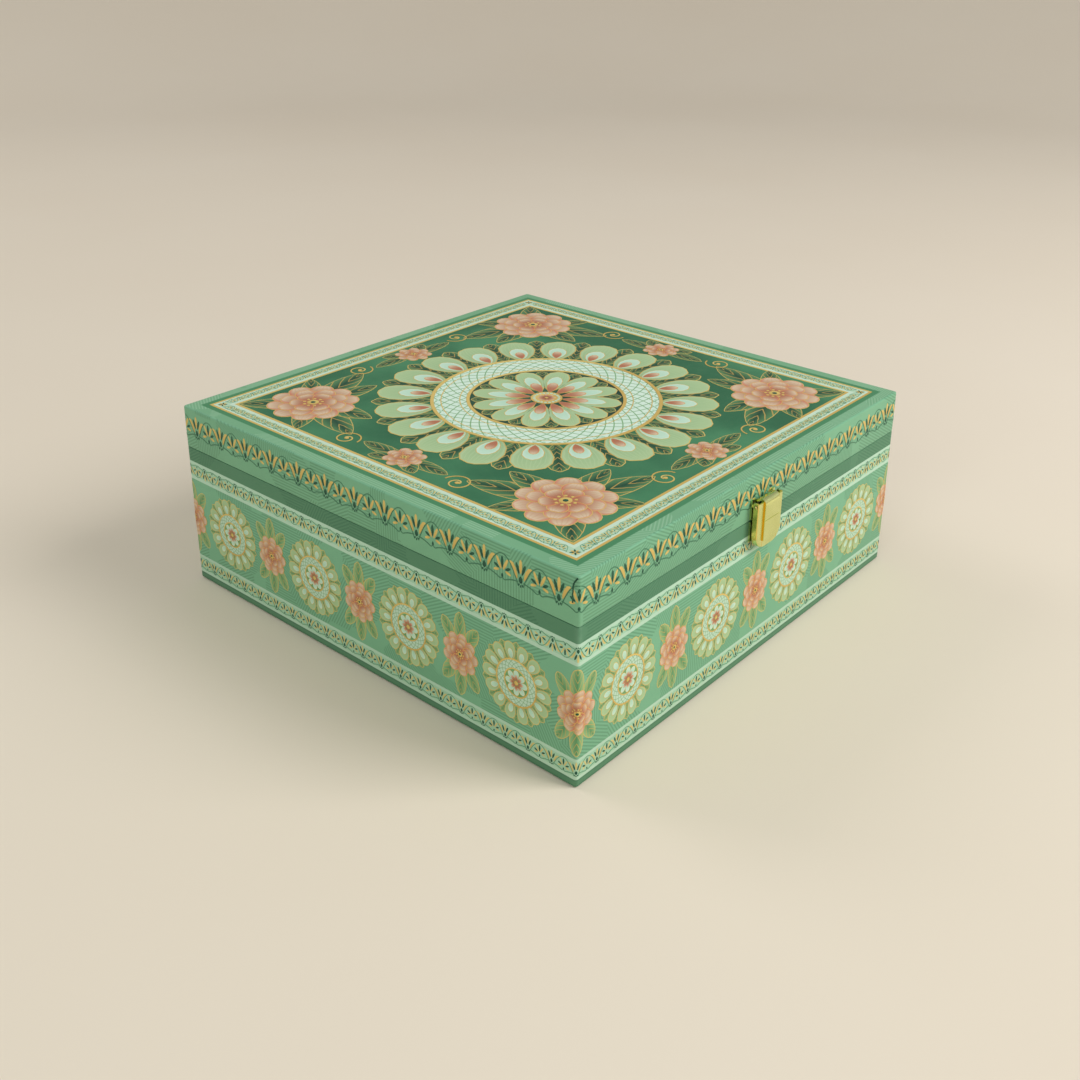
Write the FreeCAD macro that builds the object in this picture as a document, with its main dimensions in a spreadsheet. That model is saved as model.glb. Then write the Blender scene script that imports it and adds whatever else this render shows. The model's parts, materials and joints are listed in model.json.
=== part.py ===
import FreeCAD, Part
import math
import os

import Sketcher

# A hinged sweet box: boards wrapped in printed paper, a shallow lid on two brass butt hinges,
# a brass swing latch on the front and a slotted card partition inside.
# Frame: the box stands on z = 0, centred on x = 0 and y = 0. The front, with the latch, faces -Y.

DIMENSIONS = {
    "Box": {
        "box_width": 254.0,
        "box_depth": 254.0,
        "box_height": 96.0,
        "lid_height": 21.8,
        "parting_gap": 0.3,
        "corner_radius": 1.4,
        "edge_radius": 0.9,
    },
    "Boards and papers": {
        "wall_thick": 5.0,
        "top_thick": 4.0,
        "floor_thick": 4.0,
        "wrap_thick": 0.3,
        "lining_thick": 0.3,
        "lining_setback": 0.6,
        "turn_in": 14.0,
        "sheet_clearance": 0.2,
    },
    "Partition": {
        "cell_count": 3,
        "divider_thick": 2.0,
        "divider_height": 42.0,
        "divider_clearance": 0.2,
        "lap_clearance": 0.1,
    },
    "Latch plates": {
        "plate_width": 18.6,
        "plate_thick": 0.8,
        "plate_gap": 0.5,
        "lid_plate_height": 9.7,
        "notch_drop": 2.6,
        "catch_plate_height": 9.6,
        "ear_thick": 0.8,
        "ear_radius": 1.0,
        "nib_radius": 0.8,
        "nib_length": 11.0,
        "nib_drop": 4.5,
    },
    "Latch lever": {
        "lever_width": 19.6,
        "lever_top": 1.8,
        "lever_drop": 13.5,
        "lever_back": 1.9,
        "lever_front": 5.0,
        "lever_skin": 0.7,
        "lever_cheek": 0.8,
        "lever_round": 7.0,
        "lever_soft": 1.0,
        "panel_width": 11.7,
        "panel_raise": 1.0,
        "panel_margin": 4.1,
        "panel_soft": 0.25,
        "roll_thick": 1.1,
        "score_width": 0.3,
        "score_depth": 0.2,
        "lever_play": 0.25,
    },
    "Latch pin and spring": {
        "pivot_rise": 7.8,
        "pivot_standoff": 3.1,
        "pivot_radius": 0.6,
        "pivot_head_radius": 0.9,
        "pivot_head_rise": 0.45,
        "pivot_fit": 0.05,
        "spring_width": 8.0,
        "spring_thick": 0.4,
        "spring_rise": 4.0,
        "bead_drop": 8.0,
    },
    "Hinges": {
        "hinge_spacing": 140.0,
        "hinge_length": 26.0,
        "knuckle_count": 5,
        "knuckle_gap": 0.2,
        "barrel_radius": 1.6,
        "barrel_standoff": 0.3,
        "leaf_thick": 0.8,
        "leaf_height": 9.5,
        "leaf_gap": 0.3,
        "hinge_pin_radius": 0.8,
        "hinge_pin_fit": 0.05,
        "hinge_tip_rise": 0.35,
        "lug_radius": 2.7,
        "lug_span": 25.0,
        "stop_angle": 108.0,
    },
    "Nails and screws": {
        "nail_radius": 0.6,
        "nail_length": 4.4,
        "nail_head_radius": 1.15,
        "nail_head_rise": 0.5,
        "nail_fit": 0.05,
        "lid_nail_spacing": 10.0,
        "lid_nail_rise": 2.9,
        "catch_nail_spacing": 13.4,
        "catch_nail_drop": 8.4,
        "screw_radius": 0.9,
        "screw_length": 4.6,
        "screw_head_radius": 1.7,
        "screw_head_rise": 0.6,
        "screw_slot_width": 0.45,
        "screw_slot_depth": 0.35,
        "screw_spacing": 15.6,
        "screw_inset": 3.4,
    },
    "Cutting": {
        "overrun": 2.0,
    },
}

TOLERANCE_SHARE = 1e-4
ALONG = FreeCAD.Vector(1, 0, 0)
FRONTWARD = FreeCAD.Vector(0, -1, 0)
BACKWARD = FreeCAD.Vector(0, 1, 0)
UPWARD = FreeCAD.Vector(0, 0, 1)


class Size:
    """A length written as a spreadsheet expression, which adds and scales like a number."""

    def __init__(self, text):
        self.text = text

    def __add__(self, other):
        return Size(f"({self.text} + {written(other)})")

    def __sub__(self, other):
        return Size(f"({self.text} - {written(other)})")

    def __mul__(self, other):
        return Size(f"({self.text} * {written(other)})")

    def __truediv__(self, other):
        return Size(f"({self.text} / {written(other)})")

    def __neg__(self):
        return Size(f"(0 - {self.text})")


def written(value):
    """The text of a size, or of a plain number."""
    return value.text if isinstance(value, Size) else str(value)


class Sheet:
    """Gives each alias of the spreadsheet as a Size: size.box_width and so on."""

    def __getattr__(self, alias):
        return Size(f"Dimensions.{alias}")


doc = FreeCAD.newDocument("SweetBox")
sheet = doc.addObject("Spreadsheet::Sheet", "Dimensions")
size = Sheet()
pieces = []

row = 0
for heading, values in DIMENSIONS.items():
    row += 1
    sheet.set(f"A{row}", heading)
    for alias, value in values.items():
        row += 1
        sheet.set(f"A{row}", alias)
        sheet.set(f"B{row}", str(value))
        sheet.setAlias(f"B{row}", alias)
doc.recompute()


def bind(thing, **sizes):
    """Ties properties of an object to sizes."""
    for name, value in sizes.items():
        thing.setExpression(name, written(value))


def place(thing, x, y, z):
    """Ties an object's position to three sizes."""
    for axis, value in zip("xyz", (x, y, z)):
        thing.setExpression(f"Placement.Base.{axis}", written(value))


def box(name, low, high):
    """A box between its lowest and its highest corner."""
    solid = doc.addObject("Part::Box", name)
    bind(solid, Length=high[0] - low[0], Width=high[1] - low[1], Height=high[2] - low[2])
    place(solid, *low)
    return solid


def rod(name, start, direction, radius, length):
    """A round rod from a start point along a direction."""
    solid = doc.addObject("Part::Cylinder", name)
    solid.Placement.Rotation = FreeCAD.Rotation(UPWARD, direction)
    bind(solid, Radius=radius, Height=length)
    place(solid, *start)
    return solid


def dome(name, centre, direction, radius, rise):
    """A domed cap: the slice of a sphere that rises from a circle of the given radius."""
    sphere_radius = (radius * radius + rise * rise) / (rise * 2)
    drop = sphere_radius - rise
    solid = doc.addObject("Part::Sphere", name)
    solid.Placement.Rotation = FreeCAD.Rotation(UPWARD, direction)
    bind(solid, Radius=sphere_radius)
    solid.setExpression("Angle1", f"asin({written(drop / sphere_radius)})")
    x, y, z = (
        at - drop * step if step else at
        for at, step in zip(centre, (int(direction.x), int(direction.y), int(direction.z)))
    )
    place(solid, x, y, z)
    return solid


def fuse(name, *solids):
    """Several solids joined into one."""
    if len(solids) == 1:
        return solids[0]
    joined = doc.addObject("Part::MultiFuse", name)
    joined.Shapes = list(solids)
    joined.Refine = True
    return joined


def cut(name, blank, *tools):
    """A blank with tools taken out of it."""
    result = doc.addObject("Part::Cut", name)
    result.Base = blank
    result.Tool = fuse(f"{name}_tools", *tools)
    return result


def common(name, first, second):
    """What two solids share."""
    result = doc.addObject("Part::Common", name)
    result.Base = first
    result.Tool = second
    return result


def group(name, solids):
    """Separate solids kept as one piece of the parts list."""
    together = doc.addObject("Part::Compound", name)
    together.Links = solids
    return together


def keep(thing):
    """Puts a finished piece on the parts list. Its label names its file."""
    pieces.append(thing)
    return thing


def sketch_on(body, role, name, offset):
    """An empty sketch parallel to one of the body's own planes, at an offset along its normal."""
    plane = next(feature for feature in body.Origin.OriginFeatures if feature.Role == role)
    sketch = body.newObject("Sketcher::SketchObject", name)
    sketch.AttachmentSupport = (plane, "")
    sketch.MapMode = "FlatFace"
    sketch.setExpression("AttachmentOffset.Base.z", written(offset))
    return sketch


def measured(length):
    """The number that a size stands for."""
    return float(sheet.evalExpression(written(length)))


def tie(sketch, name, length, *terms):
    """Adds a named dimension to a sketch and ties it to a size."""
    index = sketch.addConstraint(Sketcher.Constraint(*terms, measured(length)))
    sketch.renameConstraint(index, name)
    sketch.setExpression(f"Constraints.{name}", written(length))


def rectangle(sketch, left, right, low, high):
    """A rectangle round the sketch's origin, from the distances of its four sides."""
    x_low, x_high, y_low, y_high = -measured(left), measured(right), -measured(low), measured(high)
    corners = [
        FreeCAD.Vector(*at, 0)
        for at in ((x_low, y_low), (x_high, y_low), (x_high, y_high), (x_low, y_high))
    ]
    for here, there in zip(corners, corners[1:] + corners[:1]):
        sketch.addGeometry(Part.LineSegment(here, there))
    for side in range(4):
        sketch.addConstraint(Sketcher.Constraint("Coincident", side, 2, (side + 1) % 4, 1))
        level = "Vertical" if side % 2 else "Horizontal"
        sketch.addConstraint(Sketcher.Constraint(level, side))
    tie(sketch, "left", left, "DistanceX", 0, 1, -1, 1)
    tie(sketch, "right", right, "DistanceX", -1, 1, 0, 2)
    tie(sketch, "low", low, "DistanceY", 0, 1, -1, 1)
    tie(sketch, "high", high, "DistanceY", -1, 1, 2, 1)


def round_bottomed(sketch, half, low, high, radius):
    """An upright outline with straight sides, a flat top and two rounded bottom corners."""
    across, drop, rise, bend = (measured(length) for length in (half, low, high, radius))
    quarter_turns = (math.pi, math.pi * 3 / 2, math.pi * 2)
    points = [
        FreeCAD.Vector(x, z, 0)
        for x, z in (
            (-across, rise),
            (-across, bend - drop),
            (bend - across, -drop),
            (across - bend, -drop),
            (across, bend - drop),
            (across, rise),
        )
    ]
    sketch.addGeometry(Part.LineSegment(points[0], points[1]))
    for centre_x, start, end in ((bend - across, *quarter_turns[:2]), (across - bend, *quarter_turns[1:])):
        centre = FreeCAD.Vector(centre_x, bend - drop, 0)
        sketch.addGeometry(Part.ArcOfCircle(Part.Circle(centre, UPWARD, bend), start, end))
    sketch.addGeometry(Part.LineSegment(points[2], points[3]))
    sketch.addGeometry(Part.LineSegment(points[4], points[5]))
    sketch.addGeometry(Part.LineSegment(points[5], points[0]))
    left_side, left_bend, right_bend, floor, right_side, top = range(6)
    chain = (left_side, left_bend, floor, right_bend, right_side)
    for here, there in zip(chain, chain[1:]):
        sketch.addConstraint(Sketcher.Constraint("Tangent", here, 2, there, 1))
    sketch.addConstraint(Sketcher.Constraint("Coincident", right_side, 2, top, 1))
    sketch.addConstraint(Sketcher.Constraint("Coincident", top, 2, left_side, 1))
    sketch.addConstraint(Sketcher.Constraint("Vertical", left_side))
    sketch.addConstraint(Sketcher.Constraint("Horizontal", top))
    sketch.addConstraint(Sketcher.Constraint("Equal", left_bend, right_bend))
    tie(sketch, "left", half, "DistanceX", left_side, 1, -1, 1)
    tie(sketch, "right", half, "DistanceX", -1, 1, right_side, 2)
    tie(sketch, "low", low, "DistanceY", floor, 1, -1, 1)
    tie(sketch, "high", high, "DistanceY", -1, 1, top, 1)
    tie(sketch, "bend", radius, "Radius", left_bend)


def extrude(body, kind, name, sketch, length):
    """A Pad or a Pocket of the sketch along its normal."""
    feature = body.newObject(f"PartDesign::{kind}", name)
    feature.Profile = sketch
    feature.Reversed = kind == "Pocket"
    bind(feature, Length=length)
    doc.recompute()
    return feature


def soften(body, name, base, chosen, radius):
    """Rounds the edges of the base feature whose bounding box passes the test."""
    whole = base.Shape.BoundBox
    near = TOLERANCE_SHARE * whole.DiagonalLength
    edges = [
        f"Edge{number}"
        for number, edge in enumerate(base.Shape.Edges, start=1)
        if chosen(edge.BoundBox, whole, near)
    ]
    feature = body.newObject("PartDesign::Fillet", name)
    feature.Base = (base, edges)
    bind(feature, Radius=radius)
    doc.recompute()
    return feature


HALF_WIDTH = size.box_width / 2
HALF_DEPTH = size.box_depth / 2
PARTING = size.box_height - size.lid_height
BASE_TOP = PARTING - size.parting_gap / 2
LID_LOW = PARTING + size.parting_gap / 2
CORE_X = HALF_WIDTH - size.wrap_thick
CORE_Y = HALF_DEPTH - size.wrap_thick
INNER_X = CORE_X - size.wall_thick
INNER_Y = CORE_Y - size.wall_thick
FLOOR_TOP = size.wrap_thick + size.floor_thick
CEILING = size.box_height - size.wrap_thick - size.top_thick


def rounded_block(name, half_x, half_y, low, high, corner, edge, round_top):
    """A block with rounded upright edges, and with its top or its bottom edges rounded."""
    body = doc.addObject("PartDesign::Body", name)
    outline = sketch_on(body, "XY_Plane", f"{name}_outline", 0)
    rectangle(outline, half_x, half_x, half_y, half_y)
    pad = extrude(body, "Pad", f"{name}_pad", outline, high - low)
    place(body, 0, 0, low)

    def upright(edge_box, whole, near):
        return edge_box.ZLength > whole.ZLength - near

    def rim(edge_box, whole, near):
        if round_top:
            return edge_box.ZMin > whole.ZMax - near
        return edge_box.ZMax < whole.ZMin + near

    corners = soften(body, f"{name}_corners", pad, upright, corner)
    soften(body, f"{name}_rim", corners, rim, edge)
    return body


def nails(name, places, face, direction, prefix, length, slotted):
    """Domed nails or slotted screws driven square into a face, and the drill for their holes."""
    step = int(direction.y)
    radius = getattr(size, f"{prefix}_radius")
    head_radius = getattr(size, f"{prefix}_head_radius")
    head_rise = getattr(size, f"{prefix}_head_rise")
    inward = FRONTWARD if step > 0 else BACKWARD
    solids = []
    drills = []
    for number, (x, z) in enumerate(places, start=1):
        tag = f"{name}_{number}"
        shank = rod(f"{tag}_shank", (x, face, z), inward, radius, length)
        head = dome(f"{tag}_head", (x, face, z), direction, head_radius, head_rise)
        solid = fuse(f"{tag}_whole", shank, head)
        if slotted:
            slot_floor = face + (head_rise - size.screw_slot_depth) * step
            slot_end = slot_floor + size.overrun * step
            near_y, far_y = (slot_floor, slot_end) if step > 0 else (slot_end, slot_floor)
            half_slot = size.screw_slot_width / 2
            slot = box(
                f"{tag}_slot",
                (x - head_radius, near_y, z - half_slot),
                (x + head_radius, far_y, z + half_slot),
            )
            solid = cut(f"{tag}_slotted", solid, slot)
        solids.append(solid)
        hole_start = face + size.overrun * step
        hole_length = length + size.overrun + size.nail_fit
        hole_radius = radius + size.nail_fit
        drills.append(rod(f"{tag}_hole", (x, hole_start, z), inward, hole_radius, hole_length))
    keep(group(name, solids))
    return fuse(f"{name}_drill", *drills)


# The hinges, on the back face. The barrels lie on the parting line.
BACK = HALF_DEPTH
HINGE_AXIS = BACK + size.barrel_standoff + size.barrel_radius
LEAF_FACE = BACK + size.leaf_thick
LEAF_EDGE = size.barrel_radius + size.leaf_gap
HINGE_SIDES = {"left": -1, "right": 1}


def knuckle_spans(centre, odd):
    """The x ranges of every other knuckle along a hinge."""
    count = int(sheet.get("knuckle_count"))
    pitch = size.hinge_length / count
    start = centre - size.hinge_length / 2
    for number in range(1 if odd else 0, count, 2):
        low = start + pitch * number + size.knuckle_gap / 2
        yield low, low + pitch - size.knuckle_gap


def stop_lug(name, low, high):
    """A wedge on a lid knuckle whose face meets the base leaf when the lid reaches its stop."""
    reach = sheet.get("barrel_standoff") + sheet.get("barrel_radius") - sheet.get("leaf_thick")
    start = sheet.get("stop_angle") - math.degrees(math.asin(reach / sheet.get("lug_radius")))
    lug = doc.addObject("Part::Cylinder", name)
    down_to_back = FreeCAD.Rotation(BACKWARD, 90)
    lug.Placement.Rotation = down_to_back.multiply(FreeCAD.Rotation(UPWARD, start))
    bind(lug, Radius=size.lug_radius, Height=high - low, Angle=size.lug_span)
    place(lug, low, HINGE_AXIS, PARTING)
    return lug


def hinge_leaf(name, centre, upper, drill):
    """A leaf that lies on the back face, with its knuckles round the hinge pin."""
    half = size.hinge_length / 2
    sign = 1 if upper else -1

    def level(low, high):
        """Two heights on this leaf's side of the parting line, the lower one first."""
        heights = [PARTING + low * sign, PARTING + high * sign]
        return heights if upper else heights[::-1]

    low, high = level(LEAF_EDGE, size.leaf_height)
    solids = [box(f"{name}_plate", (centre - half, BACK, low), (centre + half, LEAF_FACE, high))]
    for number, (start, end) in enumerate(knuckle_spans(centre, upper), start=1):
        tag = f"{name}_knuckle_{number}"
        low, high = level(size.leaf_gap, LEAF_EDGE + size.leaf_gap)
        solids.append(box(f"{tag}_root", (start, BACK, low), (end, LEAF_FACE, high)))
        at = (start, HINGE_AXIS, PARTING)
        solids.append(rod(f"{tag}_curl", at, ALONG, size.barrel_radius, end - start))
        if upper:
            solids.append(stop_lug(f"{tag}_lug", start, end))
    blank = fuse(f"{name}_blank", *solids)
    bore_start = (centre - half - size.overrun, HINGE_AXIS, PARTING)
    bore_length = size.hinge_length + size.overrun * 2
    bore_radius = size.hinge_pin_radius + size.hinge_pin_fit
    bore = rod(f"{name}_bore", bore_start, ALONG, bore_radius, bore_length)
    return keep(cut(name, blank, bore, drill))


def hinge_pin(name, centre):
    """The pin through a hinge's knuckles, with domed tips."""
    half = size.hinge_length / 2
    left = (centre - half, HINGE_AXIS, PARTING)
    right = (centre + half, HINGE_AXIS, PARTING)
    shank = rod(f"{name}_shank", left, ALONG, size.hinge_pin_radius, size.hinge_length)
    tips = [
        dome(f"{name}_left_tip", left, -ALONG, size.hinge_pin_radius, size.hinge_tip_rise),
        dome(f"{name}_right_tip", right, ALONG, size.hinge_pin_radius, size.hinge_tip_rise),
    ]
    return keep(fuse(name, shank, *tips))


def hinge_centre(side):
    return size.hinge_spacing / 2 * HINGE_SIDES[side]


def screw_places(upper):
    """Two screws for each leaf, set in from its free edge."""
    rise = size.leaf_height - size.screw_inset
    height = PARTING + rise if upper else PARTING - rise
    for side in HINGE_SIDES:
        for end in (-1, 1):
            yield hinge_centre(side) + size.screw_spacing / 2 * end, height


hinge_base_drill = nails(
    "hinge_base_screws", screw_places(False), LEAF_FACE, BACKWARD, "screw", size.screw_length, True
)
hinge_lid_drill = nails(
    "hinge_lid_screws", screw_places(True), LEAF_FACE, BACKWARD, "screw", size.screw_length, True
)
for side in HINGE_SIDES:
    hinge_leaf(f"hinge_{side}_base_leaf", hinge_centre(side), False, hinge_base_drill)
    hinge_leaf(f"hinge_{side}_lid_leaf", hinge_centre(side), True, hinge_lid_drill)
    hinge_pin(f"hinge_{side}_pin", hinge_centre(side))


# The latch, in the middle of the front face.
FRONT = -HALF_DEPTH
PLATE_FACE = FRONT - size.plate_thick
PIVOT_Y = FRONT - size.pivot_standoff
PIVOT_Z = PARTING + size.pivot_rise
HALF_PLATE = size.plate_width / 2
HALF_LEVER = size.lever_width / 2
EAR_OUTER = HALF_LEVER - size.lever_cheek - size.lever_play
EAR_INNER = EAR_OUTER - size.ear_thick
HALF_PANEL = size.panel_width / 2
ROLL_RADIUS = size.lever_front + size.panel_raise - size.pivot_standoff


def nail_pair(spacing, height):
    return [(spacing / 2 * end, height) for end in (-1, 1)]


def pivot_bore(name):
    """The hole for the latch pin, right across the latch."""
    start = (-HALF_LEVER - size.overrun, PIVOT_Y, PIVOT_Z)
    length = size.lever_width + size.overrun * 2
    return rod(name, start, ALONG, size.pivot_radius + size.pivot_fit, length)


def latch_lid_plate(drill):
    """The plate on the lid: a notch for the lever's roll, and two ears that carry the latch pin."""
    low = PARTING + size.plate_gap
    high = low + size.lid_plate_height
    notch_half = HALF_PANEL + size.lever_play
    notch = box(
        "latch_lid_notch",
        (-notch_half, PLATE_FACE - size.overrun, PIVOT_Z - size.notch_drop),
        (notch_half, FRONT + size.overrun, high + size.overrun),
    )
    solids = [box("latch_lid_plate_flat", (-HALF_PLATE, PLATE_FACE, low), (HALF_PLATE, FRONT, high))]
    for side, start, end in (("left", -EAR_OUTER, -EAR_INNER), ("right", EAR_INNER, EAR_OUTER)):
        arm_low = (start, PIVOT_Y, PIVOT_Z - size.ear_radius)
        arm_high = (end, FRONT, PIVOT_Z)
        solids.append(box(f"latch_{side}_ear_arm", arm_low, arm_high))
        at = (start, PIVOT_Y, PIVOT_Z)
        solids.append(rod(f"latch_{side}_ear_eye", at, ALONG, size.ear_radius, end - start))
    blank = fuse("latch_lid_plate_blank", *solids)
    return keep(cut("latch_lid_plate", blank, pivot_bore("latch_ear_bore"), notch, drill))


def latch_catch(drill):
    """The plate on the base, with a half-round nib that the spring's bead snaps under."""
    high = PARTING - size.plate_gap
    low = high - size.catch_plate_height
    flat = box("latch_catch_flat", (-HALF_PLATE, PLATE_FACE, low), (HALF_PLATE, FRONT, high))
    start = (-size.nib_length / 2, PLATE_FACE, PARTING - size.nib_drop)
    bar = rod("latch_nib_bar", start, ALONG, size.nib_radius, size.nib_length)
    ledge_low = (-HALF_PLATE, PLATE_FACE - size.nib_radius, low)
    ledge = box("latch_nib_side", ledge_low, (HALF_PLATE, FRONT, high))
    nib = common("latch_nib", bar, ledge)
    return keep(cut("latch_catch", fuse("latch_catch_blank", flat, nib), drill))


def panel_roll():
    """The top of the lever's panel, rolled back over the latch pin: half a tube as wide as the panel."""
    start = (-HALF_PANEL, PIVOT_Y, PIVOT_Z)
    outer = rod("lever_roll_outer", start, ALONG, ROLL_RADIUS, HALF_PANEL * 2)
    inner_start = (-HALF_PANEL - size.overrun, PIVOT_Y, PIVOT_Z)
    inner_length = HALF_PANEL * 2 + size.overrun * 2
    inner = rod("lever_roll_inner", inner_start, ALONG, ROLL_RADIUS - size.roll_thick, inner_length)
    upper_low = (-HALF_PANEL, PIVOT_Y - ROLL_RADIUS, PIVOT_Z)
    upper = box("lever_roll_upper", upper_low, (HALF_PANEL, PIVOT_Y + ROLL_RADIUS, PIVOT_Z + ROLL_RADIUS))
    return common("lever_roll", cut("lever_roll_tube", outer, inner), upper)


def latch_lever():
    """The swing lever: a shallow cup, open at the top and the back, with a raised front panel that ends in a roll."""
    body = doc.addObject("PartDesign::Body", "latch_lever_cup")
    place(body, 0, FRONT, PIVOT_Z)
    drop = size.pivot_rise + size.lever_drop
    depth = size.lever_front - size.lever_back
    outline = sketch_on(body, "XZ_Plane", "lever_outline", size.lever_back)
    round_bottomed(outline, HALF_LEVER, drop, size.lever_top, size.lever_round)
    shell = extrude(body, "Pad", "lever_shell", outline, depth)

    hollow = sketch_on(body, "XZ_Plane", "lever_hollow", size.lever_back)
    half = HALF_LEVER - size.lever_cheek
    inner_drop = drop - size.lever_cheek
    inner_round = size.lever_round - size.lever_cheek
    round_bottomed(hollow, half, inner_drop, size.lever_top + size.overrun, inner_round)
    cup = extrude(body, "Pocket", "lever_cup", hollow, depth - size.lever_skin)
    if cup.Shape.Volume >= shell.Shape.Volume:
        raise RuntimeError("the lever's hollow cut nothing")

    def front_rim(edge_box, whole, near):
        at_front = edge_box.YMax < whole.YMin + near
        return at_front and edge_box.ZMin < whole.Center.z

    softened = soften(body, "lever_softened", cup, front_rim, size.lever_soft)

    face = sketch_on(body, "XZ_Plane", "lever_panel_outline", size.lever_front)
    rectangle(face, HALF_PANEL, HALF_PANEL, drop - size.panel_margin, Size("0"))
    panel = extrude(body, "Pad", "lever_panel", face, size.panel_raise)

    if panel.Shape.Volume <= softened.Shape.Volume:
        raise RuntimeError("the lever's panel added nothing")
    soften(body, "lever_panel_soft", panel, front_rim, size.panel_soft)

    middle = PIVOT_Z + (ROLL_RADIUS - drop + size.panel_margin) / 2
    panel_face = FRONT - size.lever_front - size.panel_raise
    score = box(
        "lever_score",
        (-HALF_PANEL, panel_face - size.overrun, middle - size.score_width / 2),
        (HALF_PANEL, panel_face + size.score_depth, middle + size.score_width / 2),
    )
    rolled = fuse("lever_rolled", body, panel_roll())
    return keep(cut("latch_lever", rolled, pivot_bore("lever_bore"), score))


def latch_pin():
    """The pin that the lever swings on, held in the lid plate's ears, with a domed head at each end."""
    reach = HALF_LEVER + size.lever_play
    left = (-reach, PIVOT_Y, PIVOT_Z)
    right = (reach, PIVOT_Y, PIVOT_Z)
    shank = rod("latch_pin_shank", left, ALONG, size.pivot_radius, reach * 2)
    heads = [
        dome("latch_pin_left", left, -ALONG, size.pivot_head_radius, size.pivot_head_rise),
        dome("latch_pin_right", right, ALONG, size.pivot_head_radius, size.pivot_head_rise),
    ]
    return keep(fuse("latch_pin", shank, *heads))


def latch_spring():
    """A flat strip on the lever's inner face, bowed into a bead that sits below the catch's nib."""
    seat = FRONT - size.lever_front + size.lever_skin
    half = size.spring_width / 2
    bead_z = PARTING - size.bead_drop
    bead_radius = size.lever_front - size.lever_skin - size.lever_back
    strip_low = (-half, seat, bead_z + bead_radius - size.spring_thick)
    strip_high = (half, seat + size.spring_thick, PARTING + size.spring_rise)
    strip = box("latch_spring_strip", strip_low, strip_high)
    start = (-half, seat, bead_z)
    outer = rod("latch_spring_bow", start, ALONG, bead_radius, size.spring_width)
    inner_start = (-half - size.overrun, seat, bead_z)
    inner_length = size.spring_width + size.overrun * 2
    inner_radius = bead_radius - size.spring_thick
    inner = rod("latch_spring_inside", inner_start, ALONG, inner_radius, inner_length)
    ring = cut("latch_spring_ring", outer, inner)
    keep_low = (-half, seat, bead_z - bead_radius)
    keep_high = (half, seat + bead_radius, bead_z + bead_radius)
    bead = common("latch_spring_bead", ring, box("latch_spring_side", keep_low, keep_high))
    return keep(fuse("latch_spring", strip, bead))


lid_nail_places = nail_pair(size.lid_nail_spacing, PARTING + size.lid_nail_rise)
catch_nail_places = nail_pair(size.catch_nail_spacing, PARTING - size.catch_nail_drop)
lid_nail_drill = nails(
    "latch_lid_nails", lid_nail_places, PLATE_FACE, FRONTWARD, "nail", size.nail_length, False
)
catch_nail_drill = nails(
    "latch_catch_nails", catch_nail_places, PLATE_FACE, FRONTWARD, "nail", size.nail_length, False
)
latch_lid_plate(lid_nail_drill)
latch_catch(catch_nail_drill)
latch_lever()
latch_pin()
latch_spring()


# The boards and the printed wraps of the base and of the lid.
CORE_CORNER = size.corner_radius - size.wrap_thick
CORE_EDGE = size.edge_radius - size.wrap_thick

base_skin = rounded_block(
    "base_skin", HALF_WIDTH, HALF_DEPTH, Size("0"), BASE_TOP, size.corner_radius, size.edge_radius, False
)
base_core = rounded_block(
    "base_core", CORE_X, CORE_Y, size.wrap_thick, BASE_TOP - size.wrap_thick, CORE_CORNER, CORE_EDGE, False
)
lid_skin = rounded_block(
    "lid_skin", HALF_WIDTH, HALF_DEPTH, LID_LOW, size.box_height, size.corner_radius, size.edge_radius, True
)
lid_core = rounded_block(
    "lid_core",
    CORE_X,
    CORE_Y,
    LID_LOW + size.wrap_thick,
    size.box_height - size.wrap_thick,
    CORE_CORNER,
    CORE_EDGE,
    True,
)


def wall_boards(prefix, core, low, high, drills):
    """Front and back boards over the full width, and side boards that butt between them."""
    spans = {
        "front": ((-CORE_X, -CORE_Y), (CORE_X, -INNER_Y)),
        "back": ((-CORE_X, INNER_Y), (CORE_X, CORE_Y)),
        "left": ((-CORE_X, -INNER_Y), (-INNER_X, INNER_Y)),
        "right": ((INNER_X, -INNER_Y), (CORE_X, INNER_Y)),
    }
    for side, (near, far) in spans.items():
        name = f"{prefix}_{side}_board"
        blank = box(f"{name}_blank", (*near, low), (*far, high))
        if side in drills:
            keep(cut(name, common(f"{name}_rounded", blank, core), drills[side]))
        else:
            keep(common(name, blank, core))


wall_boards(
    "base",
    base_core,
    size.wrap_thick,
    BASE_TOP - size.wrap_thick,
    {"front": catch_nail_drill, "back": hinge_base_drill},
)
wall_boards(
    "lid", lid_core, LID_LOW + size.wrap_thick, CEILING, {"front": lid_nail_drill, "back": hinge_lid_drill}
)
keep(box("base_floor_board", (-INNER_X, -INNER_Y, size.wrap_thick), (INNER_X, INNER_Y, FLOOR_TOP)))
lid_top_blank = box(
    "lid_top_blank", (-CORE_X, -CORE_Y, CEILING), (CORE_X, CORE_Y, size.box_height - size.wrap_thick)
)
keep(common("lid_top_board", lid_top_blank, lid_core))

TURN_X = HALF_WIDTH - size.turn_in
TURN_Y = HALF_DEPTH - size.turn_in
base_mouth = box(
    "base_mouth", (-INNER_X, -INNER_Y, BASE_TOP - size.overrun), (INNER_X, INNER_Y, BASE_TOP + size.overrun)
)
base_under = box("base_under", (-TURN_X, -TURN_Y, -size.overrun), (TURN_X, TURN_Y, size.overrun))
keep(cut("base_wrap", base_skin, base_core, base_mouth, base_under, catch_nail_drill, hinge_base_drill))
lid_mouth = box(
    "lid_mouth", (-INNER_X, -INNER_Y, LID_LOW - size.overrun), (INNER_X, INNER_Y, LID_LOW + size.overrun)
)
keep(cut("lid_wrap", lid_skin, lid_core, lid_mouth, lid_nail_drill, hinge_lid_drill))

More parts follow.
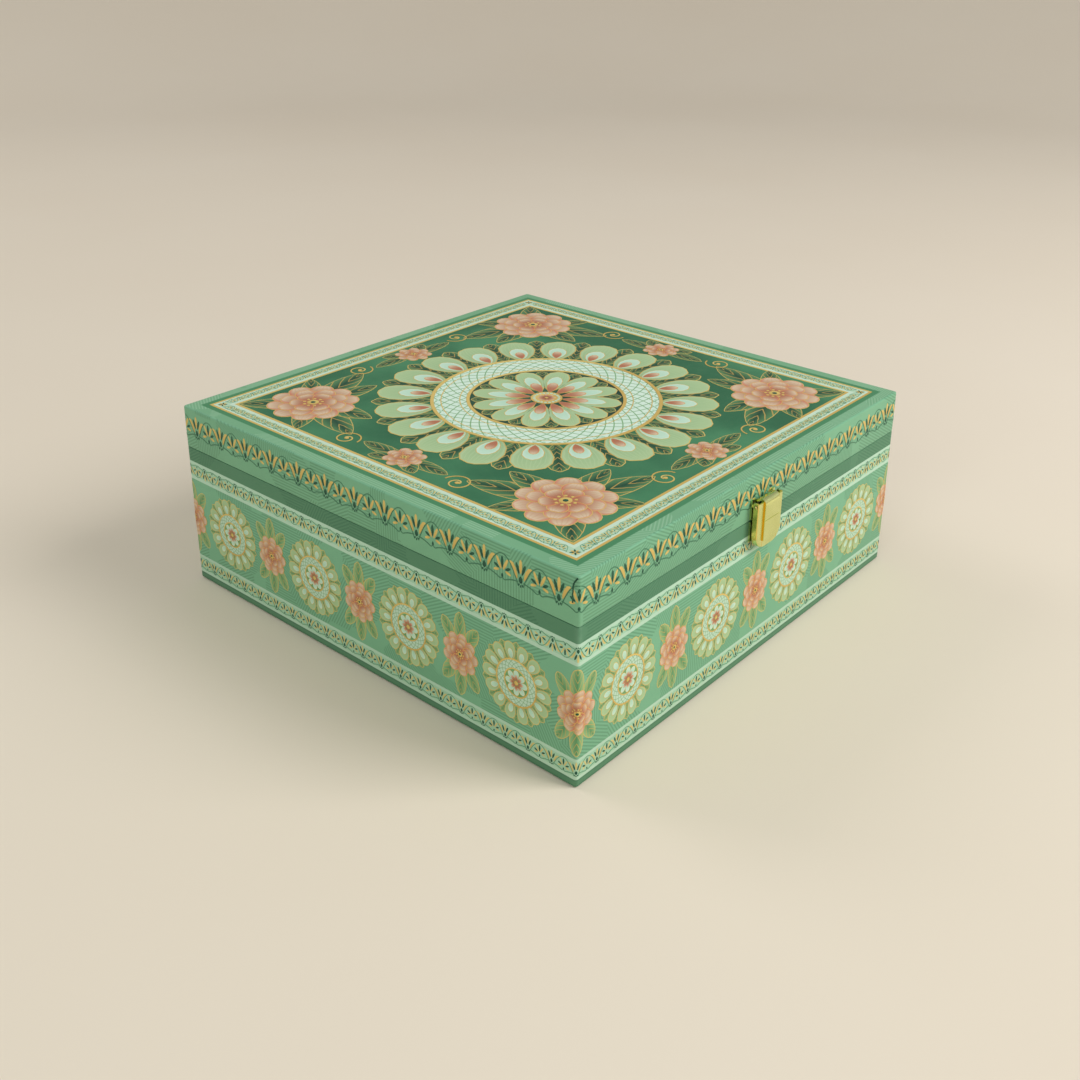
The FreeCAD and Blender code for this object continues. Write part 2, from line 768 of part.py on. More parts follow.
SHEET_X = TURN_X - size.sheet_clearance
SHEET_Y = TURN_Y - size.sheet_clearance
keep(box("base_under_sheet", (-SHEET_X, -SHEET_Y, Size("0")), (SHEET_X, SHEET_Y, size.wrap_thick)))


# The linings: plain paper on the inner walls, the floor and the underside of the lid.
LINED_X = INNER_X - size.lining_thick
LINED_Y = INNER_Y - size.lining_thick
LINED_FLOOR = FLOOR_TOP + size.lining_thick
LINED_CEILING = CEILING - size.lining_thick
LINING_TOP = BASE_TOP - size.lining_setback
LINING_LOW = LID_LOW + size.lining_setback

base_lining_blank = box(
    "base_lining_blank", (-INNER_X, -INNER_Y, FLOOR_TOP), (INNER_X, INNER_Y, LINING_TOP)
)
base_lining_room = box(
    "base_lining_room", (-LINED_X, -LINED_Y, LINED_FLOOR), (LINED_X, LINED_Y, LINING_TOP + size.overrun)
)
keep(cut("base_lining", base_lining_blank, base_lining_room))
lid_lining_blank = box("lid_lining_blank", (-INNER_X, -INNER_Y, LINING_LOW), (INNER_X, INNER_Y, CEILING))
lid_lining_room = box(
    "lid_lining_room", (-LINED_X, -LINED_Y, LINING_LOW - size.overrun), (LINED_X, LINED_Y, LINED_CEILING)
)
keep(cut("lid_lining", lid_lining_blank, lid_lining_room))


# The partition: card strips that cross in half-lap slots and stand on the floor's lining.
DIVIDER_X = LINED_X - size.divider_clearance
DIVIDER_Y = LINED_Y - size.divider_clearance
DIVIDER_TOP = LINED_FLOOR + size.divider_height
LAP = LINED_FLOOR + size.divider_height / 2
HALF_DIVIDER = size.divider_thick / 2
HALF_SLOT = HALF_DIVIDER + size.lap_clearance


def divider_places(half_span):
    """Where strips stand so that the cells between them are equally wide."""
    count = int(sheet.get("cell_count"))
    pitch = (half_span * 2 + size.divider_thick) / count
    return [pitch * number - half_span - HALF_DIVIDER for number in range(1, count)]


def divider(name, strip, crossings, along_y):
    """A strip with a slot for each strip that crosses it: from above along Y, from below along X."""

    def turned(along, across, height):
        return (across, along, height) if along_y else (along, across, height)

    reach = DIVIDER_Y if along_y else DIVIDER_X
    low = turned(-reach, strip - HALF_DIVIDER, LINED_FLOOR)
    high = turned(reach, strip + HALF_DIVIDER, DIVIDER_TOP)
    blank = box(f"{name}_blank", low, high)
    slot_low = LAP - size.lap_clearance if along_y else LINED_FLOOR - size.overrun
    slot_high = DIVIDER_TOP + size.overrun if along_y else LAP
    slots = []
    for number, crossing in enumerate(crossings, start=1):
        near = turned(crossing - HALF_SLOT, strip - HALF_DIVIDER - size.overrun, slot_low)
        far = turned(crossing + HALF_SLOT, strip + HALF_DIVIDER + size.overrun, slot_high)
        slots.append(box(f"{name}_slot_{number}", near, far))
    return keep(cut(name, blank, *slots))


strips_x = divider_places(LINED_X)
strips_y = divider_places(LINED_Y)
for number, strip in enumerate(strips_x, start=1):
    divider(f"divider_long_{number}", strip, strips_y, True)
for number, strip in enumerate(strips_y, start=1):
    divider(f"divider_cross_{number}", strip, strips_x, False)


doc.recompute()
for thing in doc.Objects:
    if {"Invalid", "Error"} & set(thing.State):
        raise RuntimeError(f"{thing.Label} could not be built")
for piece in pieces:
    if piece.Shape.isNull() or not piece.Shape.isValid() or not piece.Shape.Solids:
        raise RuntimeError(f"{piece.Label} has no sound shape")

os.makedirs("parts", exist_ok=True)
for piece in pieces:
    piece.Shape.exportStep(f"parts/{piece.Label}.step")
    span = piece.Shape.BoundBox
    print(
        f"{piece.Label}: {len(piece.Shape.Solids)} solid(s), "
        f"{span.XLength:.2f} x {span.YLength:.2f} x {span.ZLength:.2f} mm, "
        f"{piece.Shape.Volume:.1f} mm3"
    )
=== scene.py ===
# %% [markdown]
# # A paper-wrapped sweet box
# The real box is stiff board wrapped in printed paper, with a shallow lid on two hinges and a gilt latch.
# The boards, linings, hinges and latch come finished from the CAD model, which is loaded as a fixed frame.
# Blender adds what CAD has no room for: the print on the paper, the polish of the metal, and the light.

import json

import bmesh
import bpy
import numpy as np
from mathutils import Matrix, Vector


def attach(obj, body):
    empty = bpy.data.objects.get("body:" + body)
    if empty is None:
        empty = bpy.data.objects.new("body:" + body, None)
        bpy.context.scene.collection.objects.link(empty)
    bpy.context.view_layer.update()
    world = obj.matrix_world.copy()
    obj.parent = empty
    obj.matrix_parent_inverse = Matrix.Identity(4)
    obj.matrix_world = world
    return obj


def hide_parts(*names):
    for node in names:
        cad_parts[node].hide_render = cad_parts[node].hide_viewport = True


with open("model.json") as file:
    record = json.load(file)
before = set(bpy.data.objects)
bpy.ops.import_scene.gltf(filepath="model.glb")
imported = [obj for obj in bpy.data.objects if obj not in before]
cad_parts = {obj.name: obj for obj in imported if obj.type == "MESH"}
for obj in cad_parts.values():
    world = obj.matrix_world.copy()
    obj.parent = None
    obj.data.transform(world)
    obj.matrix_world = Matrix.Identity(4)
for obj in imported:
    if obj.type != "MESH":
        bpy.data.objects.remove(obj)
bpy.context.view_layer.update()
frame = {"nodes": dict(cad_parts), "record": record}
MM = 0.001
TURN = 2 * np.pi

# %% [markdown]
# ## The camera
# The picture looks down on the corner between the latch side and the left side.
# The angles, the lens and the shift were found by fitting the box's corners to the picture, so they are
# written down as numbers. A camera looks along its own minus Z, so its axes are the columns of its matrix.

# %% Set the camera
AZIMUTH, ELEVATION, ROLL = np.radians([-48.91, 21.99, 0.339])
CAMERA_PLACE = np.array([-0.44330, -0.38413, 0.32963])
LENS_MM, SENSOR_MM = 41.96, 36
SHIFT_X, SHIFT_Y = -0.0026, -0.1258
backward = np.array(
    [np.sin(AZIMUTH) * np.cos(ELEVATION), -np.cos(AZIMUTH) * np.cos(ELEVATION), np.sin(ELEVATION)]
)
level = np.array([np.cos(AZIMUTH), np.sin(AZIMUTH), 0])
rise = np.cross(backward, level)
rightward = level * np.cos(ROLL) + rise * np.sin(ROLL)
upward = rise * np.cos(ROLL) - level * np.sin(ROLL)
camera_matrix = np.eye(4)
camera_matrix[:3] = np.column_stack([rightward, upward, backward, CAMERA_PLACE])
camera = bpy.data.objects.new("camera", bpy.data.cameras.new("camera"))
camera.data.lens = LENS_MM
camera.data.sensor_width = SENSOR_MM
camera.data.shift_x = SHIFT_X
camera.data.shift_y = SHIFT_Y
camera.data.clip_start = 0.01
camera.matrix_world = Matrix(camera_matrix.tolist())
bpy.context.scene.collection.objects.link(camera)
bpy.context.scene.camera = camera
bpy.context.scene.view_settings.view_transform = "Standard"
print("camera at", CAMERA_PLACE)

# %% [markdown]
# ## Writing shaders as sums
# A finish is a small calculation for each point of a surface: bands of colour by height, lines, mottling.
# Nodes could be placed one by one, but sums are easier to read. Wire holds one output socket, and adding or
# multiplying two wires places a Math node. Finish is a material with one method for every other node.

# %% Wire
class Wire:
    """One value in a node tree; + - * / with wires or numbers, from either side, place Math nodes."""

    def __init__(self, finish, socket):
        self.finish = finish
        self.socket = socket

    def math(self, operation, first, second=None):
        values = {0: first} if second is None else {0: first, 1: second}
        return self.finish.node("ShaderNodeMath", {"operation": operation}, values)

    def __add__(self, other):
        return self.math("ADD", self, other)

    def __radd__(self, other):
        return self.math("ADD", other, self)

    def __sub__(self, other):
        return self.math("SUBTRACT", self, other)

    def __rsub__(self, other):
        return self.math("SUBTRACT", other, self)

    def __mul__(self, other):
        return self.math("MULTIPLY", self, other)

    def __rmul__(self, other):
        return self.math("MULTIPLY", other, self)

    def __truediv__(self, other):
        return self.math("DIVIDE", self, other)

    def __abs__(self):
        return self.math("ABSOLUTE", self)

    def cosine(self):
        return self.math("COSINE", self)

    def sine(self):
        return self.math("SINE", self)

    def floor(self):
        return self.math("FLOOR", self)

    def most(self, other):
        return self.math("MAXIMUM", self, other)

    def wave(self):
        """0 at whole numbers, 1 halfway between them, straight in between."""
        return 1 - abs(self.math("FRACT", self) * 2 - 1)

    def above(self, edge, soft):
        """0 below the edge and 1 above it, over a soft step."""
        reach = {"From Min": edge - soft, "From Max": edge + soft}
        return self.finish.node(
            "ShaderNodeMapRange", {"interpolation_type": "SMOOTHSTEP"}, {"Value": self, **reach}
        )

    def within(self, low, high, soft):
        return self.above(low, soft) * (1 - self.above(high, soft))


print("wires can be added, multiplied, waved and stepped")

# %% Finish
class Finish:
    """A material: its Principled shader, with constants set on sockets, and one method for other nodes."""

    def __init__(self, name, constants):
        self.material = bpy.data.materials.new(name)
        self.material.use_nodes = True
        self.tree = self.material.node_tree
        self.shader = self.tree.nodes["Principled BSDF"]
        for socket, value in constants.items():
            self.shader.inputs[socket].default_value = value

    def node(self, kind, settings, inputs, output=0):
        made = self.tree.nodes.new(kind)
        for name, value in settings.items():
            setattr(made, name, value)
        for name, value in inputs.items():
            if isinstance(value, Wire):
                self.tree.links.new(value.socket, made.inputs[name])
            else:
                made.inputs[name].default_value = value
        return Wire(self, made.outputs[output])

    def feed(self, socket, wire):
        self.tree.links.new(wire.socket, self.shader.inputs[socket])

    def place(self):
        return self.node("ShaderNodeTexCoord", {}, {}, "Object")

    def map(self, name):
        """The two numbers of a UV map."""
        pair = self.node("ShaderNodeUVMap", {"uv_map": name}, {})
        return [self.node("ShaderNodeSeparateXYZ", {}, {0: pair}, axis) for axis in (0, 1)]

    def mix(self, share, low, high):
        """Colour low where share is 0 and high where it is 1."""
        return self.node("ShaderNodeMix", {"data_type": "RGBA"}, {0: share, 6: low, 7: high}, 2)

    def noise(self, scale, detail=3.0, point=None):
        inputs = {"Vector": point or self.place(), "Scale": scale, "Detail": detail}
        return self.node("ShaderNodeTexNoise", {}, inputs)

    def bump(self, height, depth, strength=1.0):
        """Bends the shading as if the surface rose by depth metres where height is 1."""
        inputs = {"Height": height, "Distance": depth, "Strength": strength}
        self.feed("Normal", self.node("ShaderNodeBump", {}, inputs))


def ink(red, green, blue):
    """A colour as it is read off a screen, 0 to 255, turned into the linear light that shaders use."""
    part = np.array([red, green, blue]) / 255
    light = np.where(part < 0.04045, part / 12.92, ((part + 0.055) / 1.055) ** 2.4)
    return (*light.tolist(), 1.0)


print("shader tools ready")

# %% [markdown]
# ## Meshes from grids
# Every new piece here is a grid: numbers along it and numbers across it give points.
# One function joins neighbouring points into quads, whether the grid is open or closes on itself, and
# another turns whole arrays into a mesh, with any UV maps given for each corner of each quad.

# %% Quads and meshes
SHARP_ANGLE = np.radians(35)


def quads(rows, columns, close_rows=False, close_columns=False):
    """Row and column numbers of each quad's corners: (r, c), (r+1, c), (r+1, c+1), (r, c+1)."""
    row, column = np.meshgrid(
        np.arange(rows if close_rows else rows - 1),
        np.arange(columns if close_columns else columns - 1),
        indexing="ij",
    )
    corner_row = np.stack([row, row + 1, row + 1, row], -1).reshape(-1, 4)
    corner_column = np.stack([column, column, column + 1, column + 1], -1).reshape(-1, 4)
    return corner_row, corner_column


def make_piece(name, points, faces, maps, finish, flat=False):
    """A mesh object from points in metres, quads of point numbers, and UV maps by quad corner."""
    mesh = bpy.data.meshes.new(name)
    mesh.from_pydata(points.reshape(-1, 3).tolist(), [], faces.tolist())
    for map_name, pairs in maps.items():
        layer = mesh.uv_layers.new(name=map_name)
        layer.data.foreach_set("uv", pairs.astype(np.float32).ravel())
    mesh.materials.append(finish.material)
    if flat:
        mesh.shade_flat()
    else:
        mesh.shade_smooth()
        mesh.set_sharp_from_angle(angle=SHARP_ANGLE)
    piece = bpy.data.objects.new(name, mesh)
    bpy.context.scene.collection.objects.link(piece)
    return piece


print("a grid of 3 by 4 points has", len(quads(3, 4)[0]), "quads")

# %% [markdown]
# ## Floor and light
# The box stands on a plain pale floor that rises softly all round, so no horizon cuts the picture.
# A wide lamp from the front right makes the latch side and the top bright and leaves the left side in half
# shade, as in the picture; a weaker, slightly cooler lamp and the world's even light keep that shade open.

# %% Build the floor
FLOOR_REACH, FLAT_REACH, RIM_HEIGHT = 4.5, 1.6, 1.6
FLOOR_STEPS, FLOOR_DROP = 91, 0.2 * MM
sand = Finish("pale_floor", {"Roughness": 0.9})
grain = sand.noise(3.0)
sand.feed("Base Color", sand.mix(grain, ink(228, 214, 194), ink(232, 220, 202)))
floor_line = np.linspace(-FLOOR_REACH, FLOOR_REACH, FLOOR_STEPS)
floor_x, floor_y = np.meshgrid(floor_line, floor_line, indexing="ij")
climb = np.clip((np.hypot(floor_x, floor_y) - FLAT_REACH) / (FLOOR_REACH - FLAT_REACH), 0, 1)
floor_points = np.stack([floor_x, floor_y, RIM_HEIGHT * climb**2 * (3 - 2 * climb) - FLOOR_DROP], -1)
floor_rows, floor_columns = quads(FLOOR_STEPS, FLOOR_STEPS)
floor = make_piece("floor", floor_points, floor_rows * FLOOR_STEPS + floor_columns, {}, sand)
print("the floor has", len(floor.data.polygons), "quads")

# %% Hang the lamps
BOX_MIDDLE = Vector((0, 0, 0.05))


def soft_lamp(name, place, width, power, tint=(1, 1, 1)):
    """A square lamp that faces the middle of the box."""
    lamp = bpy.data.objects.new(name, bpy.data.lights.new(name, "AREA"))
    lamp.data.size = width
    lamp.data.energy = power
    lamp.data.color = tint
    lamp.location = place
    lamp.rotation_euler = (BOX_MIDDLE - Vector(place)).to_track_quat("-Z", "Y").to_euler()
    bpy.context.scene.collection.objects.link(lamp)


soft_lamp("key_lamp", (0.75, -1.55, 1.35), 1.1, 32)
soft_lamp("side_lamp", (-1.7, -0.5, 0.9), 0.9, 7.5, (0.87, 1.0, 0.96))
soft_lamp("back_lamp", (-0.4, 1.6, 1.5), 1.0, 9)
world = bpy.data.worlds.new("room")
world.use_nodes = True
even_light = world.node_tree.nodes["Background"].inputs
even_light["Color"].default_value = ink(246, 249, 250)
even_light["Strength"].default_value = 0.40
bpy.context.scene.world = world
print("key, side and back lamp hung in the", world.name)

# %% [markdown]
# ## Where the print lies
# A printed sheet is flat until it is wrapped, so the print is laid out flat first, in millimetres.
# On the walls, u runs round the box from the middle of the latch side and z runs up; the top has x and y.
# Two functions then carry any flat point onto the box, with a small lift for ink that stands on other ink.

# %% From the flat sheet onto the box
HALF, CORNER, EDGE, PAPER, TOP = 127.0, 1.4, 0.9, 0.3, 96.0
BASE_TOP, LID_LOW, RIM, UNDER_TURN = 74.05, 74.35, 5.3, 14.0
STRAIGHT = 2 * (HALF - CORNER)
ARC = CORNER * np.pi / 2
QUARTER = STRAIGHT + ARC


def on_wall(u, z, lift):
    """Straight walls and a quarter circle at each corner: u is the distance round the box, z the height."""
    side, along = np.divmod(u + STRAIGHT / 2, QUARTER)
    bend = np.clip(along - STRAIGHT, 0, ARC) / CORNER
    x = np.minimum(along, STRAIGHT) - STRAIGHT / 2 + (CORNER + lift) * np.sin(bend)
    y = CORNER - HALF - (CORNER + lift) * np.cos(bend)
    turn = side * np.pi / 2
    cos, sin = np.cos(turn), np.sin(turn)
    return np.stack([x * cos - y * sin, x * sin + y * cos, z + 0 * x], -1) * MM


def on_top(x, y, lift):
    """The lid's top is level, so a flat point only gets its height."""
    return np.stack([x, y, TOP + lift + 0 * x], -1) * MM


print("once round the box is", round(4 * QUARTER, 1), "mm")

# %% [markdown]
# ## The wrapping paper's finish
# The paper is printed in greens and laminated, so it is smooth with a low sheen and a faint grain.
# Bands of colour run round the box at fixed heights. The open green carries patches of fine parallel lines,
# each patch turned its own way: Voronoi cells give every patch a random number to turn its lines by.
# Colour comes from nodes, as an image would be a second file to keep and would blur close up.

# %% Hatching and the feel of paper
FIELD, DARK, MINT, PALE = ink(126, 181, 144), ink(90, 136, 104), ink(170, 210, 178), ink(188, 219, 194)
TOP_FIELD, DEEP, NIGHT = ink(122, 174, 134), ink(74, 136, 94), ink(44, 102, 70)
WALL_LINES, TOP_LINES = ink(48, 96, 70), ink(162, 202, 166)
LINE_GAP, PATCH, CRISP = 1.45 * MM, 22 * MM, 0.12 * MM
LOW_BAND, HIGH_BAND = (3.8, 13.7), (57.0, 66.9)
SATIN = {"Specular IOR Level": 0.15}


def hatch(finish, u, v):
    """1 on the lines of patches: each Voronoi cell turns its lines by a random multiple of 30 degrees."""
    point = finish.node("ShaderNodeCombineXYZ", {}, {0: u, 1: v})
    cell = finish.node(
        "ShaderNodeTexVoronoi",
        {"voronoi_dimensions": "2D", "distance": "MANHATTAN"},
        {"Vector": point, "Scale": 1 / PATCH},
        "Color",
    )
    chance, kind = [finish.node("ShaderNodeSeparateColor", {}, {0: cell}, part) for part in (0, 1)]
    angle = (chance * 6).floor() * (np.pi / 6)
    across = (u * angle.cosine() + v * angle.sine()) / LINE_GAP
    return across.wave().above(0.56, 0.16) * kind.above(0.3, 0.01)


def stripe(distance, low, high):
    """1 between two distances in millimetres, with the crisp edge of print."""
    return distance.within(low * MM, high * MM, CRISP)


def paper_feel(finish, colour):
    """Gives printed paper its mottling, its sheen and its grain."""
    mottle = finish.noise(38.0, 4.0)
    finish.feed("Base Color", finish.mix(mottle * 0.16, colour, ink(70, 112, 84)))
    finish.feed("Roughness", finish.noise(260.0) * 0.16 + 0.36)
    finish.bump(finish.noise(1900.0, 2.0), 0.03 * MM, 0.25)


print("hatching has a line every", round(LINE_GAP / MM, 2), "mm")

# %% Print the walls
wall_print = Finish("printed_wall_paper", SATIN)
wall_u, wall_z = wall_print.map("print")
wall_colour = FIELD
stripes = [
    (-1.0, LOW_BAND[0], DARK),
    (*LOW_BAND, PALE),
    (5.3, 12.3, MINT),
    (*HIGH_BAND, PALE),
    (58.7, 65.3, MINT),
    (HIGH_BAND[1], 74.2, DARK),
]
wall_lines = hatch(wall_print, wall_u, wall_z)
for low, high, colour in stripes:
    wall_colour = wall_print.mix(stripe(wall_z, low, high), wall_colour, colour)
on_bands = stripe(wall_z, *LOW_BAND) + stripe(wall_z, *HIGH_BAND)
foot_lines = abs(wall_z - 2.2 * MM).within(0.9 * MM, 1.6 * MM, 0.2 * MM)
on_rim = wall_z.within(73.95 * MM, 74.45 * MM, 0.05 * MM)
plain = (1 - on_bands) * (1 - on_rim) * wall_z.above(4 * MM, CRISP)
shade = wall_lines * plain * 0.34 + foot_lines * 0.3
wall_colour = wall_print.mix(shade, wall_colour, WALL_LINES)
# Near each corner the paper is lightened in patches toward pale: partly rubbed paper, partly a painted
# highlight on the rounded corner.
corner_near = 1 - ((wall_u - 0.5 * ARC * MM) / (QUARTER * MM)).wave().above(3.2 / QUARTER, 2.4 / QUARTER)
rubbed_and_highlit = corner_near * wall_print.noise(120.0).above(0.5, 0.15)
wall_colour = wall_print.mix(rubbed_and_highlit * 0.12, wall_colour, PALE)
paper_feel(wall_print, wall_colour)
print("stripes round the walls:", len(stripes))

# %% Print the top
top_print = Finish("printed_top_paper", SATIN)
top_x, top_y = top_print.map("print")
frame_out = abs(top_x).most(abs(top_y))
cloud = top_print.noise(16.0, 5.0)
top_colour = top_print.mix(cloud.above(0.52, 0.16), NIGHT, ink(74, 136, 96))
frames = [
    (108.4, 117.0, ink(206, 229, 206)),
    (111.0, 115.4, ink(186, 216, 186)),
    (117.0, 120.8, DEEP),
    (120.8, 130.0, TOP_FIELD),
]
for low, high, colour in frames:
    top_colour = top_print.mix(stripe(frame_out, low, high), top_colour, colour)
top_lines = hatch(top_print, top_x, top_y) * frame_out.above(120.8 * MM, CRISP)
top_colour = top_print.mix(top_lines * 0.5, top_colour, TOP_LINES)
paper_feel(top_print, top_colour)
print("paper finishes:", wall_print.material.name, top_print.material.name)

# %% [markdown]
# ## The wrapping sheets
# The base sheet starts under the floor, turns up the walls and ends over the rim; the lid has a sheet for
# its walls and one for its top, split at the fold. Each is a profile, inset and height, carried round the
# box: every profile point draws a square loop with rounded corners. A hidden inner face closes the form.
# A cut and bevelled cube would do as well, but here the folds, the rim and the hidden face follow from a
# few numbers. The map named OFBake lays the four walls in four rows and gives hidden faces little room.

# %% Carry a profile round the box
CORNER_STEPS = 8
EASE, EASE_MIDDLE = 0.25, 0.07
ROWS = 4 * (CORNER_STEPS + 1)


def fold_arc(inset, height, start, end, radius, steps=5):
    """Points of a quarter turn round a centre, as inset and height; angles in quarter turns."""
    angle = np.linspace(start, end, steps) * np.pi / 2
    return np.stack([inset - radius * np.cos(angle), height + radius * np.sin(angle)], -1)


def carry_round(profile):
    """Each profile point's loop: quarter circles about corner centres at half-size less inset and radius."""
    inset, height = profile[:, 0], profile[:, 1]
    radius = np.minimum(np.maximum(CORNER - inset, PAPER), HALF - inset)
    centre = HALF - inset - radius
    corner = np.repeat(np.arange(1, 5), CORNER_STEPS + 1)
    start = corner * np.pi / 2
    turn = np.tile(np.linspace(0, np.pi / 2, CORNER_STEPS + 1), 4) + start
    x = np.outer(np.cos(start) + np.sin(start), centre) + np.outer(np.sin(turn), radius)
    y = np.outer(np.sin(start) - np.cos(start), centre) - np.outer(np.cos(turn), radius)
    round_box = (corner - 1) * QUARTER + np.tile(np.linspace(0, ARC, CORNER_STEPS + 1), 4)
    return np.stack([x, y, np.broadcast_to(height, x.shape)], -1), np.append(round_box, 4 * QUARTER)


print("each loop has", ROWS, "points")

# %% Fold the base sheet and the lid's wall sheet
def wall_sheet(name, profile, shown, body, node):
    """A closed sheet round the walls. The first shown points of the profile are the printed side."""
    points, round_box = carry_round(profile)
    columns = len(profile)
    row, column = quads(ROWS, columns, True, True)
    steps = np.hypot(*np.diff(np.vstack([profile, profile[:1]]), axis=0).T)
    share = np.cumsum(np.append(0, steps * np.where(np.arange(columns) < shown - 1, 1, 0.05)))
    wall = (round_box[row] - ARC / 2) / QUARTER
    number = np.floor(wall.mean(1, keepdims=True))
    bake = np.stack([wall - number, (number % 4 + 0.02 + 0.96 * (share / share[-1])[column]) / 4], -1)
    spread = np.stack([round_box[row], np.append(profile[:, 1], profile[0, 1])[column]], -1) * MM
    faces = (row % ROWS) * columns + column % columns
    sheet = make_piece(name, points * MM, faces, {"print": spread, "OFBake": bake}, wall_print)
    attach(sheet, body)
    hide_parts(node)
    print(name, "has", len(faces), "quads")


base_profile = np.vstack(
    [
        [(UNDER_TURN, 0)],
        fold_arc(EDGE, EDGE, -1, 0, EDGE),
        [(0, BASE_TOP - EASE), (EASE_MIDDLE, BASE_TOP - EASE_MIDDLE), (EASE, BASE_TOP), (RIM, BASE_TOP)],
        [(RIM, BASE_TOP - PAPER), (PAPER, BASE_TOP - PAPER)],
        fold_arc(EDGE, EDGE, 0, -1, EDGE - PAPER),
        [(UNDER_TURN, PAPER)],
    ]
)
lid_profile = np.vstack(
    [
        [(RIM, LID_LOW), (EASE, LID_LOW), (EASE_MIDDLE, LID_LOW + EASE_MIDDLE), (0, LID_LOW + EASE)],
        fold_arc(EDGE, TOP - EDGE, 0, 1, EDGE),
        fold_arc(EDGE, TOP - EDGE, 1, 0, EDGE - PAPER),
        [(PAPER, LID_LOW + PAPER), (RIM, LID_LOW + PAPER)],
    ]
)
wall_sheet("base_wrap_sheet", base_profile, 10, "base", "base_wrap")
wall_sheet("lid_wall_sheet", lid_profile, 9, "lid", "lid_wrap")

# %% The lid's top sheet
top_insets = np.array([HALF, 70, 20, EDGE, EDGE, 20, 70, HALF])
ACROSS = len(top_insets)
top_heights = np.repeat([TOP - PAPER, TOP], ACROSS // 2)
top_points, _ = carry_round(np.stack([top_insets, top_heights], -1))
top_rows, top_columns = quads(ROWS, ACROSS, True)
top_faces = (top_rows % ROWS) * ACROSS + top_columns
flat_place = top_points.reshape(-1, 3)[top_faces][..., :2]
part_u, part_v = np.moveaxis(flat_place / (2 * HALF) + 0.5, -1, 0)
hidden = (top_columns.min(1) < ACROSS // 2)[:, None]
bake_u = np.where(hidden, 0.955 + 0.04 * part_u, 0.005 + 0.94 * part_u)
top_bake = np.stack([bake_u, 0.005 + 0.99 * part_v], -1)
top_sheet = make_piece(
    "lid_top_sheet", top_points * MM, top_faces, {"print": flat_place * MM, "OFBake": top_bake}, top_print
)
joined = bmesh.new()
joined.from_mesh(top_sheet.data)
bmesh.ops.remove_doubles(joined, verts=joined.verts, dist=0.001 * MM)
joined.to_mesh(top_sheet.data)
joined.free()
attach(top_sheet, "lid")
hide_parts("lid_wrap")
print("top sheet has", len(top_sheet.data.vertices), "points, one at each pole")

# %% [markdown]
# ## Leaves, petals and ribbons
# Nearly all the ornament is made of leaves: a spine that may curve, and a half-width at each place along
# it. With the right powers the same formula gives a pointed leaf, a round petal, a hooked stroke or a
# pearl. A slightly larger gold copy under each shape shows as its outline, as a foil block would print it.
# Bevelled curves could draw all this too, but one formula keeps the meshes even and small.

# %% Leaves and ribbons
NEAR_END = 0.035


def swell(s, belly, full):
    """Half-width along a leaf: s^a (1-s)^b, scaled to 1 where it is widest, at s = belly; a + b is full."""
    return (s / belly) ** (full * belly) * ((1 - s) / (1 - belly)) ** (full * (1 - belly))


def bow(s, foot, pull, tip):
    """A curve from foot towards pull and on to tip: (1-s)^2 foot + 2 s (1-s) pull + s^2 tip."""
    s = np.asarray(s)[:, None]
    return (1 - s) ** 2 * np.array(foot) + 2 * s * (1 - s) * np.array(pull) + s**2 * np.array(tip)


def ribbon(path, width):
    """A strip along paths (many, points, 2): half the width to each side of the path."""
    ahead = np.gradient(path, axis=1)
    ahead = ahead / np.linalg.norm(ahead, axis=-1, keepdims=True)
    left = np.stack([-ahead[..., 1], ahead[..., 0]], -1) * np.asarray(width)[..., None] / 2
    return np.stack([path - left, path + left], -2)


def stroke(foot, pull, tip, width, belly=0.5, full=1.4, rows=7, columns=3):
    """A leaf along a bow: a ribbon whose width swells. Full 1 rounds its ends, and 2 points them."""
    s = (1 - np.cos(np.pi * np.linspace(NEAR_END, 1 - NEAR_END, rows))) / 2
    edges = ribbon(bow(s, foot, pull, tip)[None], swell(s, belly, full) * width)[0]
    across = np.linspace(0, 1, columns)[None, :, None]
    return edges[:, :1] * (1 - across) + edges[:, 1:] * across


def blade(length, width, start=0.0, **form):
    """A straight leaf along x."""
    return stroke((start, 0), (start + length / 2, 0), (start + length, 0), width, **form)


def pearl(across, rows=7):
    """A blade as long as it is wide, with both powers a half: a circle."""
    return blade(across, across, -across / 2, full=1.0, rows=rows)


print("a blade has", blade(10, 4).shape[:2], "points")

# %% Copies, rings and frames
def stamp(shape, centres, headings):
    """Copies of a flat shape, each turned to its heading and moved to its centre."""
    centres = np.atleast_2d(centres).astype(float)
    headings = np.broadcast_to(np.asarray(headings, float), len(centres))
    cos, sin = np.cos(headings), np.sin(headings)
    turn = np.stack([np.stack([cos, -sin], -1), np.stack([sin, cos], -1)], -2)
    return np.einsum("mij,rcj->mrci", turn, shape) + centres[:, None, None]


def ring(count, radius, phase=0.0):
    """Places evenly round a centre, and the headings that point away from it."""
    heading = TURN * (np.arange(count) + phase) / count
    return radius * np.stack([np.cos(heading), np.sin(heading)], -1), heading


def annulus(inner, outer, steps=96):
    """A flat ring: angle along it, radius across it."""
    heading = -TURN * np.arange(steps) / steps
    unit = np.stack([np.cos(heading), np.sin(heading)], -1)
    return (unit[:, None] * np.linspace(inner, outer, 3)[None, :, None])[None]


def square_ring(inner, outer):
    """A flat square frame between two half-sizes."""
    unit = np.array([(1, -1), (-1, -1), (-1, 1), (1, 1)])
    return (unit[:, None] * np.array([inner, outer])[None, :, None])[None]


print("the first of eight places round a ring:", ring(8, 1.0)[0][0])

# %% [markdown]
# ## Inks
# The ornament is printed in thirteen inks. Each has its own tone change, which follows the shape it fills:
# the map named leaf runs from the foot of a leaf to its tip, and from its right edge to its left.
# An image would hold the same tones, but tones that come from the shape stay sharp close up.
# A little grain and sheen is shared by all, so that the inks sit in the same paper.

